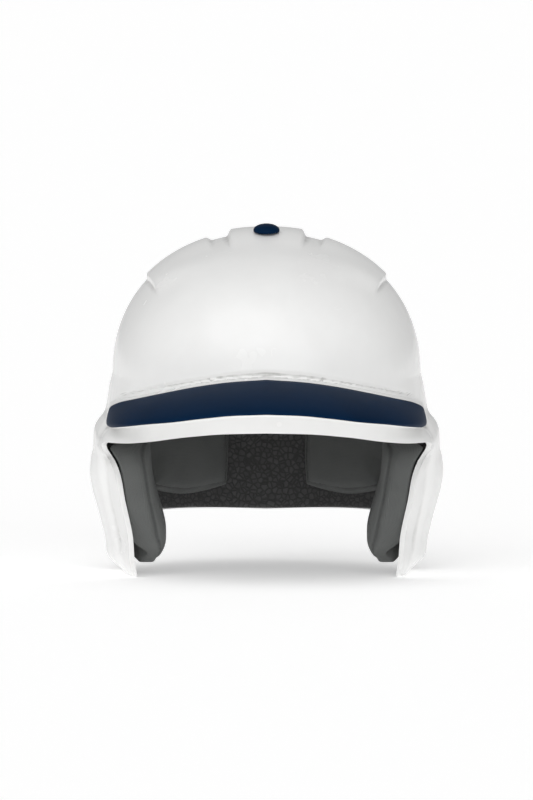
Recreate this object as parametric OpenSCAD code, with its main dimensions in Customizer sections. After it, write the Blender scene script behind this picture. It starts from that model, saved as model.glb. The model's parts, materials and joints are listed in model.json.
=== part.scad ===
// Batting helmet with two ear flaps: moulded shell, navy bill panel and crown button,
// impact foam, sewn comfort pads and two ear pads that pull off hook-and-loop patches.
// Millimetres, +Z up, the face opening towards -Y. The flaps stand on z = 0 and the
// origin is under the middle of the overall length and width.

/* [Shell] */
// Half-width of the dome at its widest level
dome_half_w = 100.4; // [98:0.1:103]
// Length of the dome ahead of its widest section
dome_front_l = 114; // [110:0.5:118]
// Length of the dome behind its widest section
dome_rear_l = 119; // [115:0.5:123]
// Height of the widest level above the flaps' lower edges
belt_z = 131; // [129:0.5:133]
// Height of the dome above its widest level, without the raised ridges
dome_h = 90.6; // [88:0.1:94]
// Exponent of the dome's rounded sections, 2 being an ellipse
dome_power = 2.15; // [2:0.05:2.4]
// Wall thickness of the moulded shell
wall = 3.4; // [3:0.1:4.2]
// Overall width over the two ear flaps
flap_w = 232; // [228:1:236]

/* [Ridges and vents] */
// Height of the middle ridge on the crown
mid_ridge_h = 4.4; // [3:0.1:5]
// Height of the ridge on each side of the crown
side_ridge_h = 2.8; // [2:0.1:3.5]
// Width of the vent slots in the channels between ridges
vent_w = 7; // [5:0.5:8]
// Length of the vent slots in the channels
vent_l = 24; // [18:1:28]
// Diameter of the ear hole in each flap
ear_hole_d = 30; // [24:1:34]

/* [Bill] */
// Reach of the bill beyond the front of the dome
bill_reach = 58; // [50:1:64]
// Half-width of the bill's underside
bill_half_w = 101.6; // [100:0.1:103]
// Thickness of the moulded bill
bill_t = 4.2; // [3.6:0.1:5]
// Thickness of the bill's coloured panel
panel_t = 0.9; // [0.7:0.1:1.2]
// Thickness of the adhesive tape under the panel
tape_t = 0.25; // [0.2:0.05:0.4]

/* [Crown button] */
// Diameter of the button
button_d = 17; // [14:0.5:20]
// Height of the button above its seat
button_h = 5.6; // [4:0.1:7]

/* [Padding] */
// Thickness of the impact foam inside the shell
foam_t = 9.5; // [8:0.5:11]
// Thickness of the comfort pads on the foam
pad_t = 8.5; // [7:0.5:10]
// Diameter of the hook-and-loop patches
patch_d = 15; // [10:1:17]
// Thickness of each hook or loop patch
patch_t = 1; // [0.8:0.1:1.2]

/* [Hidden] */

shell_white = "white";
trim_navy = "#0f253a";
pad_grey = "#4d4f4e";
foam_dark = "#333333";

// The widest section lies behind the middle, because the bill adds length only at the front.
dome_y = (dome_front_l + bill_reach - dome_rear_l) / 2;
helmet_h = belt_z + dome_h + mid_ridge_h;
e = 2 / dome_power;

// ---------- helpers ----------

function spow(v, p) = sign(v) * pow(abs(v), p);
function unit(v) = v / norm(v);
function mix(a, b, w) = a + (b - a) * w;
function ease(a, b, v) = let (w = min(max((v - a) / (b - a), 0), 1)) w * w * (3 - 2 * w);

// A smooth curve through [x, y] points that never overshoots them.
function gap_at(p, x, i = 0) = i >= len(p) - 2 || x < p[i + 1][0] ? i : gap_at(p, x, i + 1);
function rise(p, i) = (p[i + 1][1] - p[i][1]) / (p[i + 1][0] - p[i][0]);
function slope(p, i) =
    i == 0 ? rise(p, 0)
    : i == len(p) - 1 ? rise(p, i - 1)
    : let (a = rise(p, i - 1), b = rise(p, i)) a * b <= 0 ? 0 : 2 * a * b / (a + b);
function curve(p, x) =
    x <= p[0][0] ? p[0][1]
    : x >= p[len(p) - 1][0] ? p[len(p) - 1][1]
    : let (
        i = gap_at(p, x), w = p[i + 1][0] - p[i][0], u = (x - p[i][0]) / w
    ) (2 * u ^ 3 - 3 * u ^ 2 + 1) * p[i][1] + (u ^ 3 - 2 * u ^ 2 + u) * slope(p, i) * w
        + (3 * u ^ 2 - 2 * u ^ 3) * p[i + 1][1] + (u ^ 3 - u ^ 2) * slope(p, i + 1) * w;

// Quads between two rows of vertices, as triangles.
function strip(a, b, n, closed) = [
    for (i = [0 : n - (closed ? 1 : 2)])
        let (j = (i + 1) % n) each [[a + i, a + j, b + j], [a + i, b + j, b + i]]
];

// Faces are listed anticlockwise seen from outside, which OpenSCAD wants the other way round.
module solid(points, faces) polyhedron(points, [for (f = faces) [f[2], f[1], f[0]]], convexity = 8);

// A closed solid between two grids of points of the same size: the first is the face seen
// with its rows and columns running anticlockwise.
module between(front, back) {
    rows = len(front);
    cols = len(front[0]);
    n = rows * cols;
    rim = concat(
        [for (c = [0 : cols - 1]) c],
        [for (r = [1 : rows - 1]) r * cols + cols - 1],
        [for (c = [cols - 2 : -1 : 0]) (rows - 1) * cols + c],
        [for (r = [rows - 2 : -1 : 1]) r * cols]
    );
    faces = concat(
        [for (r = [0 : rows - 2]) each strip(r * cols, (r + 1) * cols, cols, false)],
        [for (r = [0 : rows - 2]) each [
            for (f = strip(r * cols, (r + 1) * cols, cols, false)) [f[2] + n, f[1] + n, f[0] + n]
        ]],
        [for (i = [0 : len(rim) - 1])
            let (a = rim[i], b = rim[(i + 1) % len(rim)]) each [[b, a, a + n], [b, a + n, b + n]]]
    );
    solid(concat([for (r = front) each r], [for (r = back) each r]), faces);
}

module mirrored_if(flag) {
    if (flag) mirror([1, 0, 0]) children();
    else children();
}

// ---------- the shell's surface ----------

// Angles run round the vertical: 0 is the front, 90 the wearer's left (+X), 180 the rear.
// Distances "y" are taken from the widest section, positive towards the rear.
// How far the wall stands out of the plain dome wall, by height: at the flap's front edge,
// over the ear and at the rear. It doesn't stand out at the front.
edge_out = [
    [0, -9], [12, -6.2], [25, -5.2], [38, -2.6], [50, 0], [64, 1.8], [75, 5], [80, 8], [86, 11],
    [91, 10], [96, 6.5], [100, 4], [107, 2.8], [116, 1.8], [131, 0],
];
side_out = [
    [0, -9.4], [13.8, 3.9], [21.5, 4.6], [33, 7.2], [45, 10.4], [57, 13.8],
    [66, flap_w / 2 - dome_half_w], [76, 14.3], [82, 12.7], [92, 12.4], [95.7, 11.7], [99.6, 9.8],
    [103.5, 6.5], [107.4, 4.6], [115, 3.3], [123, 2], [131, 0],
];
rear_out = [[30, -8], [60, -2.5], [90, 0.6], [131, 0]];
// Angle of the flap's front edge by height, and the angle of the soft crease behind it.
edge_angle = [[0, 70], [50, 70.5], [67, 72.4], [80, 74.2], [131, 74]];
crease_angle = 80;
crease_share = 0.32;
// Angle at which the wall has fully become the flap.
flap_start = 74;

function side_rise(a, z) =
    let (from = curve(edge_angle, z))
    a < crease_angle ? crease_share * max(a - from, 0) / (crease_angle - from)
    : crease_share + (1 - crease_share) * ease(crease_angle - 8, 90, a);
function stand_out(a, z) =
    let (flap = mix(curve(edge_out, z), curve(side_out, z), side_rise(a, z)))
    a < flap_start ? flap * ease(45, flap_start, a)
    : a < 96 ? flap
    : mix(curve(side_out, z), curve(rear_out, z), ease(98, 140, a));

// A point of the wall at angle a and height z, inset by d from the outer surface.
function wall_pt(a0, z, d = 0) =
    let (
        a = abs(a0),
        side = a0 < 0 ? -1 : 1,
        l = a < 90 ? dome_front_l : dome_rear_l,
        up = min(max((z - belt_z) / (dome_h - d), 0), 1),
        k = pow(1 - pow(up, dome_power), e / 2),
        ux = spow(sin(a), e),
        uy = -spow(cos(a), e),
        q = dome_power - 1,
        n = unit([spow(ux, q) / dome_half_w, spow(uy, q) / l, 0]),
        out = stand_out(a, z)
    ) [side * (k * (dome_half_w - d) * ux + out * n.x), dome_y + k * (l - d) * uy + out * n.y, z];

// The same wall by distance y from the widest section.
function angle_at(y, d = 0) =
    let (l = (y < 0 ? dome_front_l : dome_rear_l) - d) acos(-sign(y) * pow(min(abs(y) / l, 1), 1 / e));
function side_pt(y, z, d = 0) = [wall_pt(angle_at(y, d), z, d).x, dome_y + y, z];

// A point of the dome at angle s off the middle plane and angle t from the front, over the
// crown, to the rear, inset by d and raised by h. The s lines bow so that they stay nearly
// straight when seen from above.
s_bow = 6;
function dome_pt(s0, t, d = 0, h = 0) =
    let (
        s = s0 - s_bow * pow(sin(2 * t), 2) * sin(2 * s0),
        l = cos(t) > 0 ? dome_front_l : dome_rear_l,
        r = pow(abs(cos(s)), e),
        ux = spow(sin(s), e),
        uy = -r * spow(cos(t), e),
        uz = r * pow(abs(sin(t)), e),
        q = dome_power - 1,
        n = unit([spow(ux, q) / dome_half_w, spow(uy, q) / l, spow(uz, q) / dome_h])
    ) [(dome_half_w - d) * ux, dome_y + (l - d) * uy, belt_z + (dome_h - d) * uz] + h * n;

// The raised ridges: [s where the step starts, s where it ends] for each edge.
mid_edge = [11.4, 13.8];
side_inner = [19.2, 21.4];
side_outer = [47.6, 50];
function ridge_h(s, t) =
    let (
        a = abs(s),
        fade_rear = 1 - ease(138, 160, t),
        mid = (1 - ease(mid_edge[0], mid_edge[1], a)) * ease(66, 86, t),
        slow = ease(side_inner[0], side_outer[0], a),
        inner = mix(slow, ease(side_inner[0], side_inner[1], a), ease(70, 88, t)),
        side = inner * (1 - ease(side_outer[0], side_outer[1], a)) * ease(50, 64, t)
    ) fade_rear * (mid_ridge_h * mid + side_ridge_h * side);

// ---------- outer shell ----------

function steps(a, b, n) = [for (i = [0 : n - 1]) a + (b - a) * i / n];
half_lines = concat(
    steps(0, mid_edge[0], 2), mid_edge, steps(16.5, side_inner[0], 1), side_inner,
    steps(26.6, side_outer[0], 3), side_outer, steps(55, 72, 3), steps(72, 90, 9), [90]
);
s_lines = concat([for (i = [len(half_lines) - 1 : -1 : 1]) -half_lines[i]], half_lines);
t_rows = 20;

// The rim: angle and height of the shell's lower edge for each angle on the belt.
rim_angle = [
    [0, 0], [30, 29.5], [50, 49.7], [60, 60], [72, 71], [75, 73.6], [77, 74.2], [79, 72.4], [81, 70.6],
    [83, 69.7], [85, 69.8], [87.5, 73], [90, 79], [92.5, 87], [95, 94.5], [97, 99.5], [99, 103],
    [101, 106], [103, 109], [105, 113], [108, 120], [114, 129], [120, 136], [150, 158], [180, 180],
];
rim_z = [
    [0, 99.1], [13.5, 98.4], [30, 95.6], [50, 90.7], [60, 88.9], [72, 88.3], [75, 86.5], [77, 80],
    [79, 67], [81, 50], [83, 30], [85, 10], [87.5, 0.3], [90, 0], [92.5, 0], [95, 0], [97, 0],
    [99, 4], [101, 12], [103, 20], [105, 27], [108, 32.5], [114, 35], [120, 35.6], [150, 35], [180, 33.7],
];
belt_rows = [belt_z, 127.5, 123];
skirt_rows = 8;

// Angles on the belt, all round, starting from the wearer's right and passing the front.
belt_angles = concat(s_lines, [
    for (i = [len(s_lines) - 2 : -1 : 1]) (s_lines[i] < 0 ? -180 : 180) - s_lines[i]
]);

function skirt_pt(a0, v, d) =
    let (
        a = abs(a0),
        side = a0 < 0 ? -1 : 1,
        last = len(belt_rows) - 1,
        w = max(v - last, 0) / skirt_rows,
        z = v <= last ? belt_rows[v] : mix(belt_rows[last], curve(rim_z, a), w),
        at = mix(a, curve(rim_angle, a), w)
    ) wall_pt(side * at, z, d);

// The dome is a grid whose first and last rows are the front and rear halves of the belt ring.
// Rings go on from there down to the rim, and an inner copy closes the wall.
module shell_wall() {
    ns = len(s_lines);
    nb = len(belt_angles);
    levels = len(belt_rows) + skirt_rows;
    nd = (t_rows - 1) * (ns - 2);
    skin = nd + levels * nb;
    function skin_points(d) = concat(
        [for (k = [1 : t_rows - 1], i = [1 : ns - 2])
            let (t = 180 * k / t_rows) dome_pt(s_lines[i], t, d, ridge_h(s_lines[i], t))],
        [for (v = [0 : levels - 1], a = belt_angles) skirt_pt(a, v, d)]
    );
    function dome_id(i, k) =
        i == 0 ? nd
        : i == ns - 1 ? nd + ns - 1
        : k == 0 ? nd + i
        : k == t_rows ? nd + (nb - i) % nb
        : (k - 1) * (ns - 2) + i - 1;
    dome_faces = [
        for (k = [0 : t_rows - 1], i = [0 : ns - 2])
            let (a = dome_id(i, k), b = dome_id(i + 1, k), c = dome_id(i + 1, k + 1), f = dome_id(i, k + 1))
            each concat(a == f ? [] : [[a, c, f]], b == c ? [] : [[a, b, c]])
    ];
    ring_faces = [for (v = [0 : levels - 2]) each strip(nd + (v + 1) * nb, nd + v * nb, nb, true)];
    outer = concat(dome_faces, ring_faces);
    inner = [for (f = outer) [f[2] + skin, f[1] + skin, f[0] + skin]];
    last = nd + (levels - 1) * nb;
    rim_faces = strip(last + skin, last, nb, true);
    solid(concat(skin_points(0), skin_points(wall)), concat(outer, inner, rim_faces));
}

// ---------- bill ----------

bill_angle = 76;
bill_cols = 36;
bill_us = [0, 0.07, 0.3, 0.55, 0.8, 0.92, 0.98, 1];
// Height of the bill's root line by angle, and of its lower front edge by plan angle.
root_z = [[0, 136.1], [10.7, 134.6], [23, 131.6], [36.6, 127.5], [49.7, 123.7], [68.6, 118.9], [76, 116.5]];
edge_z = [
    [0, 114], [10.3, 113.2], [22, 110.8], [34.7, 107.6], [46.9, 105.2], [63, 101.6], [79.6, 98.6], [90, 97.6],
];
// Where the bill's plan curve starts, behind its reach.
bill_y = -30;
rim_lip = 1;
bill_bulge = 2;

function bill_dir(a) = unit([3 * spow(sin(a), 2), -0.35 * cos(a), 1]);
function bill_edge(a) =
    let (b = abs(a) * 90 / bill_angle, l = dome_front_l + bill_reach + bill_y)
    [sign(a) * bill_half_w * pow(sin(b), e), dome_y + bill_y - l * pow(cos(b), e), curve(edge_z, b)];
// A point of the bill at angle a, at the share u of the way from its root to its edge, and
// at the depth d below its upper face. A depth of "bottom" is its underside.
bottom = -100;
function bill_pt(a, u, d = 0) =
    let (
        root = wall_pt(a, curve(root_z, abs(a)), wall / 2),
        low = mix([root.x, root.y, root.z - bill_t], bill_edge(a), u),
        t = rim_lip + (bill_t - rim_lip) * (0.38 + 0.62 * sqrt(1 - min(u, 1) ^ 8)),
        bulge = bill_bulge * sin(180 * min(u, 1)) * (1 - ease(45, bill_angle, abs(a))),
        up = (d == bottom ? 0 : t - d) + bulge
    ) low + up * bill_dir(a);

function bill_grid(a1, from, to, d, us = bill_us) = [
    for (u = us) [
        for (i = [0 : bill_cols])
            let (a = a1 * (2 * i / bill_cols - 1), at = mix(curve(from, abs(a)), curve(to, abs(a)), u))
                bill_pt(a, at, d)
    ]
];
whole = [[0, 1], [90, 1]];
none = [[0, 0], [90, 0]];
// The coloured panel runs from a white strip along the root to the front edge, and its ends
// are rounded.
panel_from = [[0, 0.12], [60, 0.14], [70, 0.2], [73, 0.24], [74.5, 0.3]];
panel_to = [[0, 1], [64, 1], [69, 0.97], [72, 0.86], [74, 0.62], [74.5, 0.5]];
panel_angle = 74.5;
panel_us = [0, 0.25, 0.5, 0.75, 0.9, 0.97, 1];

module bill_slab() between(bill_grid(bill_angle, none, whole, bottom), bill_grid(bill_angle, none, whole, 0));
module panel_layer(top, low) between(
    bill_grid(panel_angle, panel_from, panel_to, low, panel_us),
    bill_grid(panel_angle, panel_from, panel_to, top, panel_us)
);
// The pocket is the panel's own outline made a little larger and running off the front edge.
pocket_gap = 0.015;
pocket_depth = panel_t + tape_t + 0.3;
module panel_pocket() between(
    bill_grid(panel_angle + 0.2, [for (p = panel_from) [p[0], p[1] - pocket_gap]],
        [for (p = panel_to) [p[0], p[1] + pocket_gap]], pocket_depth, panel_us),
    bill_grid(panel_angle + 0.2, [for (p = panel_from) [p[0], p[1] - pocket_gap]],
        [for (p = panel_to) [p[0], p[1] + pocket_gap]], -2, panel_us)
);

// The crease above the bill is widest in the middle and runs out towards the sides.
crease_h = 3.8;
crease_depth = 1.2;
crease_end = 69;
module bill_crease() {
    function row(share, d) = [
        for (i = [0 : bill_cols])
            let (a = crease_end * (2 * i / bill_cols - 1), h = crease_h * (1 - pow(a / crease_end, 2)) + 0.05)
            wall_pt(a, curve(root_z, abs(a)) + 0.2 + h * share, d)
    ];
    between([row(0, -2), row(1, -2)], [row(0, crease_depth), row(1, crease_depth)]);
}

// ---------- openings in the shell ----------

ear_y = 8;
ear_z = 66;
vent_s = 16.5;
vent_ts = [106, 126];

module vents() {
    half_s = vent_w / 2 / dome_half_w * 57.3;
    half_t = vent_l / 2 / dome_rear_l * 57.3;
    for (side = [-1, 1], t = vent_ts)
        dome_patch(side * vent_s, t, half_s, half_t, -3, wall + 2, 8, 8, 0.32, 0);
}

module ear_holes() {
    for (side = [-1, 1])
        translate([side * dome_half_w, dome_y + ear_y, ear_z])
            rotate([0, 90, 0])
                cylinder(h = 40, d = ear_hole_d, center = true, $fn = 32);
}

// ---------- crown button ----------

button_t = 80.2;
button_seat = dome_pt(0, button_t, 0, ridge_h(0, button_t));
button_tilt = let (p = dome_pt(0, button_t + 1), q = dome_pt(0, button_t - 1)) atan2(p.z - q.z, p.y - q.y);
stem_d = 4.6;
stem_gap = 0.3;
stem_l = 9;
nut_d = 9.5;
nut_t = 1.2;

module at_button() translate(button_seat) rotate([button_tilt, 0, 0]) children();

module outer_shell() {
    color(shell_white)
        resize([0, 0, helmet_h])
            difference() {
                union() {
                    shell_wall();
                    bill_slab();
                }
                panel_pocket();
                bill_crease();
                vents();
                ear_holes();
                at_button()
                    cylinder(h = 30, d = stem_d + 2 * stem_gap, center = true, $fn = 24);
            }
}

module bill_panel() color(trim_navy) panel_layer(0, panel_t - 0.02);
module bill_panel_tape() color(shell_white) panel_layer(panel_t, panel_t + tape_t - 0.02);

// A domed cap on a stem, turned in one piece.
module crown_button() {
    r = button_d / 2;
    edge_h = 1.6;
    color(trim_navy)
        at_button()
            rotate_extrude($fn = 48)
                polygon(concat(
                    [[0, -stem_l], [stem_d / 2, -stem_l], [stem_d / 2, 0.2], [r, 0.2], [r, edge_h]],
                    [for (i = [1 : 7]) [r * cos(i * 90 / 8), edge_h + (button_h - edge_h) * sin(i * 90 / 8)]],
                    [[0, button_h]]
                ));
}

module button_push_nut() {
    color("silver")
        at_button()
            translate([0, 0, -wall - 1.1 - nut_t])
                difference() {
                    cylinder(h = nut_t, d = nut_d, $fn = 32);
                    translate([0, 0, -1])
                        cylinder(h = nut_t + 2, d = stem_d + 0.1, $fn = 32);
                }
}

// ---------- padding ----------

// Depths below the shell's outer surface at which each layer lies.
foam_from = wall + 0.95;
foam_to = foam_from + foam_t;
pad_from = foam_to + 0.9;
pad_to = pad_from + pad_t;

// A square grid of (u, v) from -1 to 1 with its corners drawn in by the share k.
function plump(u, v, k) = [u * sqrt(1 - k * v * v), v * sqrt(1 - k * u * u)];
// How far inward a cushion's inner face reaches, less near its borders.
function cushion(u, v, soft) = 1 - soft * max(pow(abs(u), 4), pow(abs(v), 4));

module dome_patch(s, t, half_s, half_t, from, to, cols, rows, k, soft) {
    function grid(inner) = [
        for (j = [0 : rows]) [
            for (i = [0 : cols])
                let (
                    u = 2 * i / cols - 1,
                    v = 2 * j / rows - 1,
                    p = plump(u, v, k),
                    d = inner ? mix(from, to, cushion(u, v, soft)) : from
                ) dome_pt(s + half_s * p.x, t + half_t * p.y, d)
        ]
    ];
    between(grid(false), grid(true));
}

module wall_patch(a0, a1, z0, z1, from, to, cols, rows, k, soft) {
    function grid(inner) = [
        for (j = [0 : rows]) [
            for (i = [0 : cols])
                let (
                    u = 2 * i / cols - 1,
                    v = 2 * j / rows - 1,
                    p = plump(u, v, k),
                    d = inner ? mix(from, to, cushion(u, v, soft)) : from
                ) wall_pt(mix(a0, a1, (p.x + 1) / 2), mix(z0, z1, (p.y + 1) / 2), d)
        ]
    ];
    between(grid(false), grid(true));
}

module foam_on_dome(s, t, half_s, half_t, cols, rows)
    dome_patch(s, t, half_s, half_t, foam_from, foam_to, cols, rows, 0.08, 0);
module pad_on_dome(s, t, half_s, half_t, cols, rows)
    dome_patch(s, t, half_s, half_t, pad_from, pad_to, cols, rows, 0.24, 0.6);
module foam_on_wall(a0, a1, z0, z1, cols, rows)
    wall_patch(a0, a1, z0, z1, foam_from, foam_to, cols, rows, 0.04, 0);
module pad_on_wall(a0, a1, z0, z1, cols, rows)
    wall_patch(a0, a1, z0, z1, pad_from, pad_to, cols, rows, 0.22, 0.6);

module brow_foam() color(foam_dark) foam_on_wall(-60, 60, 101.5, 156, 16, 5);
module crown_foam() {
    color(foam_dark)
        difference() {
            foam_on_dome(0, 92, 10.6, 58, 4, 14);
            at_button()
                cylinder(h = 2 * (stem_l + 1.5), d = nut_d + 3, center = true, $fn = 24);
        }
}
module side_crown_foam(right) color(foam_dark) mirrored_if(right) foam_on_dome(40, 92, 18.6, 58, 5, 14);
module temple_foam(right) color(foam_dark) mirrored_if(right) foam_on_wall(62, 118, 101.5, 156, 8, 6);

// The rear foam crosses the middle plane, so its angles pass 180. Its lower edge follows the
// shell's rim, which dips a little at the nape.
module rear_foam() {
    half_angle = 59;
    low = 36.2;
    nape_dip = 1.3;
    top = 154;
    cols = 12;
    rows = 8;
    function grid(d) = [
        for (j = [0 : rows]) [
            for (i = [0 : cols])
                let (
                    p = plump(2 * i / cols - 1, 2 * j / rows - 1, 0.04),
                    a = 180 + half_angle * p.x,
                    foot = low - nape_dip * ease(140, 180, 180 - abs(180 - a)),
                    z = mix(foot, top, (p.y + 1) / 2)
                ) wall_pt(a > 180 ? a - 360 : a, z, d)
        ]
    ];
    color(foam_dark)
        between(grid(foam_from), grid(foam_to));
}

module brow_pad() color(pad_grey) pad_on_wall(-52, 52, 102.5, 136, 14, 5);
module crown_pad() color(pad_grey) pad_on_dome(0, 94, 9.4, 40, 4, 12);
module side_crown_pad(right) color(pad_grey) mirrored_if(right) pad_on_dome(38, 92, 14, 38, 5, 10);
module temple_pad(right) color(pad_grey) mirrored_if(right) pad_on_wall(62, 108, 103, 146, 8, 6);
module rear_pad(right) color(pad_grey) mirrored_if(right) pad_on_wall(117.5, 165, 45.5, 138, 7, 10);

// ---------- ear foam, ear pads and their patches ----------

// The ear pad is a ring about the ear: outline reach forward, rearward, up and down.
pad_mid = [4, 64];
pad_reach = [43, 38, 29, 57];
pad_hole = [19, 24];
ring_cols = 28;
// Half the width left between the two ear pads, by height.
pad_face = [[6, 67], [14, 65], [28, 64.7], [40, 67.3], [50.7, 70.5], [66, 73.8], [96, 76]];

function ring_yz(phi, w, reach, hole, power) =
    let (
        c = spow(cos(phi), 2 / power),
        s = spow(sin(phi), 2 / power),
        far = [(cos(phi) < 0 ? reach[0] : reach[1]) * c, (sin(phi) > 0 ? reach[2] : reach[3]) * s],
        near = [hole[0] * cos(phi), hole[1] * sin(phi)]
    ) pad_mid + mix(near, far, w);

// A closed ring between an outer and an inner grid of the same size.
module ring_between(front, back) {
    rows = len(front);
    cols = len(front[0]);
    n = rows * cols;
    skin = [for (r = [0 : rows - 2]) each strip(r * cols, (r + 1) * cols, cols, true)];
    solid(
        concat([for (r = front) each r], [for (r = back) each r]),
        concat(
            [for (f = skin) [f[2], f[1], f[0]]],
            [for (f = skin) f + [n, n, n]],
            strip(0, n, cols, true),
            strip(n - cols + n, n - cols, cols, true)
        )
    );
}

// Near the flap's front edge the pad fills the whole depth, so no foam shows past it.
ear_foam_to = foam_from + 8.5;
hook_from = ear_foam_to + 0.8;
loop_from = hook_from + patch_t + 0.4;
ear_pad_from = loop_from + patch_t + 0.3;
ear_foam_front = -22;
function ear_pad_back(y) = mix(wall + 1.2, ear_pad_from, ease(ear_foam_front - 12, ear_foam_front - 4, y));

module ear_pad(right) {
    ws = [0, 0.25, 0.5, 0.75, 1];
    grids = [
        for (inner = [false, true]) [
            for (w = ws) [
                for (i = [0 : ring_cols - 1])
                    let (
                        p = ring_yz(i * 360 / ring_cols, w, pad_reach, pad_hole, 3),
                        o = side_pt(p.x, p.y, ear_pad_back(p.x)),
                        full = max(o.x - curve(pad_face, p.y), 6),
                        t = full * (1 - 0.45 * pow(abs(2 * w - 1), 3))
                    ) inner ? o - [t, 0, 0] : o
            ]
        ]
    ];
    color(pad_grey)
        mirrored_if(right)
            ring_between(grids[0], grids[1]);
}

module ear_foam(right) {
    reach = [pad_mid.x - ear_foam_front, 38, 32, 46];
    hole = [ear_hole_d / 2 + 3, ear_hole_d / 2 + 5];
    grids = [
        for (d = [foam_from, ear_foam_to]) [
            for (w = [0, 0.5, 1]) [
                for (i = [0 : ring_cols - 1])
                    let (p = ring_yz(i * 360 / ring_cols, w, reach, hole, 5)) side_pt(p.x, p.y, d)
            ]
        ]
    ];
    color(foam_dark)
        mirrored_if(right)
            ring_between(grids[0], grids[1]);
}

// Three round patches for each ear pad, moulded to the wall: y and z of each.
patch_at = [[2, 27], [32, 60], [10, 86]];
patch_cols = 12;
module wall_disc(y, z, from, to) {
    function ring(d) = [
        for (i = [0 : patch_cols - 1])
            let (phi = i * 360 / patch_cols, r = patch_d / 2) side_pt(y + r * cos(phi), z + r * sin(phi), d)
    ];
    n = patch_cols;
    points = concat(ring(from), ring(to), [side_pt(y, z, from), side_pt(y, z, to)]);
    solid(points, concat(
        [for (i = [0 : n - 1]) [i, (i + 1) % n, 2 * n]],
        [for (i = [0 : n - 1]) [n + (i + 1) % n, n + i, 2 * n + 1]],
        strip(n, 0, n, true)
    ));
}
module patches(right, from) {
    color(foam_dark)
        mirrored_if(right)
            for (p = patch_at)
                wall_disc(p.x, p.y, from, from + patch_t);
}

// ---------- drawing ----------

outer_shell();
bill_panel();
bill_panel_tape();
crown_button();
button_push_nut();
brow_foam();
crown_foam();
side_crown_foam(false);  // left_crown_foam
side_crown_foam(true);  // right_crown_foam
temple_foam(false);  // left_temple_foam
temple_foam(true);  // right_temple_foam
ear_foam(false);  // left_ear_foam
ear_foam(true);  // right_ear_foam
rear_foam();
brow_pad();
crown_pad();
side_crown_pad(false);  // left_crown_pad
side_crown_pad(true);  // right_crown_pad
temple_pad(false);  // left_temple_pad
temple_pad(true);  // right_temple_pad
rear_pad(false);  // left_rear_pad
rear_pad(true);  // right_rear_pad
ear_pad(false);  // left_ear_pad
ear_pad(true);  // right_ear_pad
patches(false, hook_from);  // left_hook_patches
patches(true, hook_from);  // right_hook_patches
patches(false, loop_from);  // left_loop_patches
patches(true, loop_from);  // right_loop_patches
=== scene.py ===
# %% [markdown]
# # A batting helmet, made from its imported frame
# A batting helmet is one thick plastic moulding with everything else glued or clipped inside:
# blocks of stiff foam that crush in a hit, and soft sewn pads that touch the head.
# The frame made in CAD already settles every size and place. What follows gives each piece
# the surface it has in the hand: an even, slightly wavy gloss on the shell, beads in the
# foam, and a knitted cover with stitching on the pads.

import bisect
import json
import math

import bmesh
import bpy
from mathutils import Matrix, Vector

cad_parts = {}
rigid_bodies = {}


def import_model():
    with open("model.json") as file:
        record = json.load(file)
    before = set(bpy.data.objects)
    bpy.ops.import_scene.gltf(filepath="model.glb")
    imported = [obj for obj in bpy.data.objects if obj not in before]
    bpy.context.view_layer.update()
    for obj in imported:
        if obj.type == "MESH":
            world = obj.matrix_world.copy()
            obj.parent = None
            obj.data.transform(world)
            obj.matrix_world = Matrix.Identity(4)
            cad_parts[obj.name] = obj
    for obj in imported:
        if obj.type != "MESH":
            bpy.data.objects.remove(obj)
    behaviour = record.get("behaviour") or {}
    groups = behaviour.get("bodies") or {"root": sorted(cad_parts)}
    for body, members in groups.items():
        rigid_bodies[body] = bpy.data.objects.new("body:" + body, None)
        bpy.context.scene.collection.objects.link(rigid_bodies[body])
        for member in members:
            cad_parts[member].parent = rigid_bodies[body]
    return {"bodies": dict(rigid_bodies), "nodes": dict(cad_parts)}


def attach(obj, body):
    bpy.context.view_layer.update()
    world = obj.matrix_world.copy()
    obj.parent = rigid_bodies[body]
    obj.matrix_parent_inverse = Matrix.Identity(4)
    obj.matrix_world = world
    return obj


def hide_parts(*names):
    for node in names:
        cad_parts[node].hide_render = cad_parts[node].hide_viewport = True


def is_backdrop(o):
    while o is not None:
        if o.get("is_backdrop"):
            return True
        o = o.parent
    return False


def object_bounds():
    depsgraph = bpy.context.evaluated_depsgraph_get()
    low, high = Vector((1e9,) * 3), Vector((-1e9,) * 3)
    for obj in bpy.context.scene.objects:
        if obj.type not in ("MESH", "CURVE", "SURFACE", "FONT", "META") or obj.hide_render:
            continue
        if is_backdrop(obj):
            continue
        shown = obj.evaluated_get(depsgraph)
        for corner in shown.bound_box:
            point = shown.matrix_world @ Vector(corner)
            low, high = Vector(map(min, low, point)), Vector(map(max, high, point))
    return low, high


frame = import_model()
cad_box = [list(corner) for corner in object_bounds()]
scene = bpy.context.scene

# %% [markdown]
# ## Working in a maker's units
# The frame is in metres, and helmets are dimensioned in millimetres, so every measure below
# is in millimetres and MM carries it over. A few small tools come first. Operators act on
# whatever is selected, and the frame arrives selected, so the first habit is to let go of
# everything before starting a piece.

# %% Small tools
MM = 0.001


def let_go():
    if bpy.context.object and bpy.context.object.mode != "OBJECT":
        bpy.ops.object.mode_set(mode="OBJECT")
    bpy.ops.object.select_all(action="DESELECT")


def take(piece):
    let_go()
    piece.select_set(True)
    bpy.context.view_layer.objects.active = piece
    return piece


def settle(piece):
    """Leave the piece's place in its mesh, with its object at the origin."""
    take(piece)
    bpy.ops.object.transform_apply(location=True, rotation=True, scale=True)
    return piece


def apply_modifier(piece, kind, **values):
    take(piece)
    added = piece.modifiers.new(kind.title(), kind)
    for name, value in values.items():
        setattr(added, name, value)
    bpy.ops.object.modifier_apply(modifier=added.name)
    return piece


def bevelled(piece, width, degrees, segments):
    limits = {"limit_method": "ANGLE", "angle_limit": math.radians(degrees)}
    return apply_modifier(piece, "BEVEL", width=width * MM, segments=segments, **limits)


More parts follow.
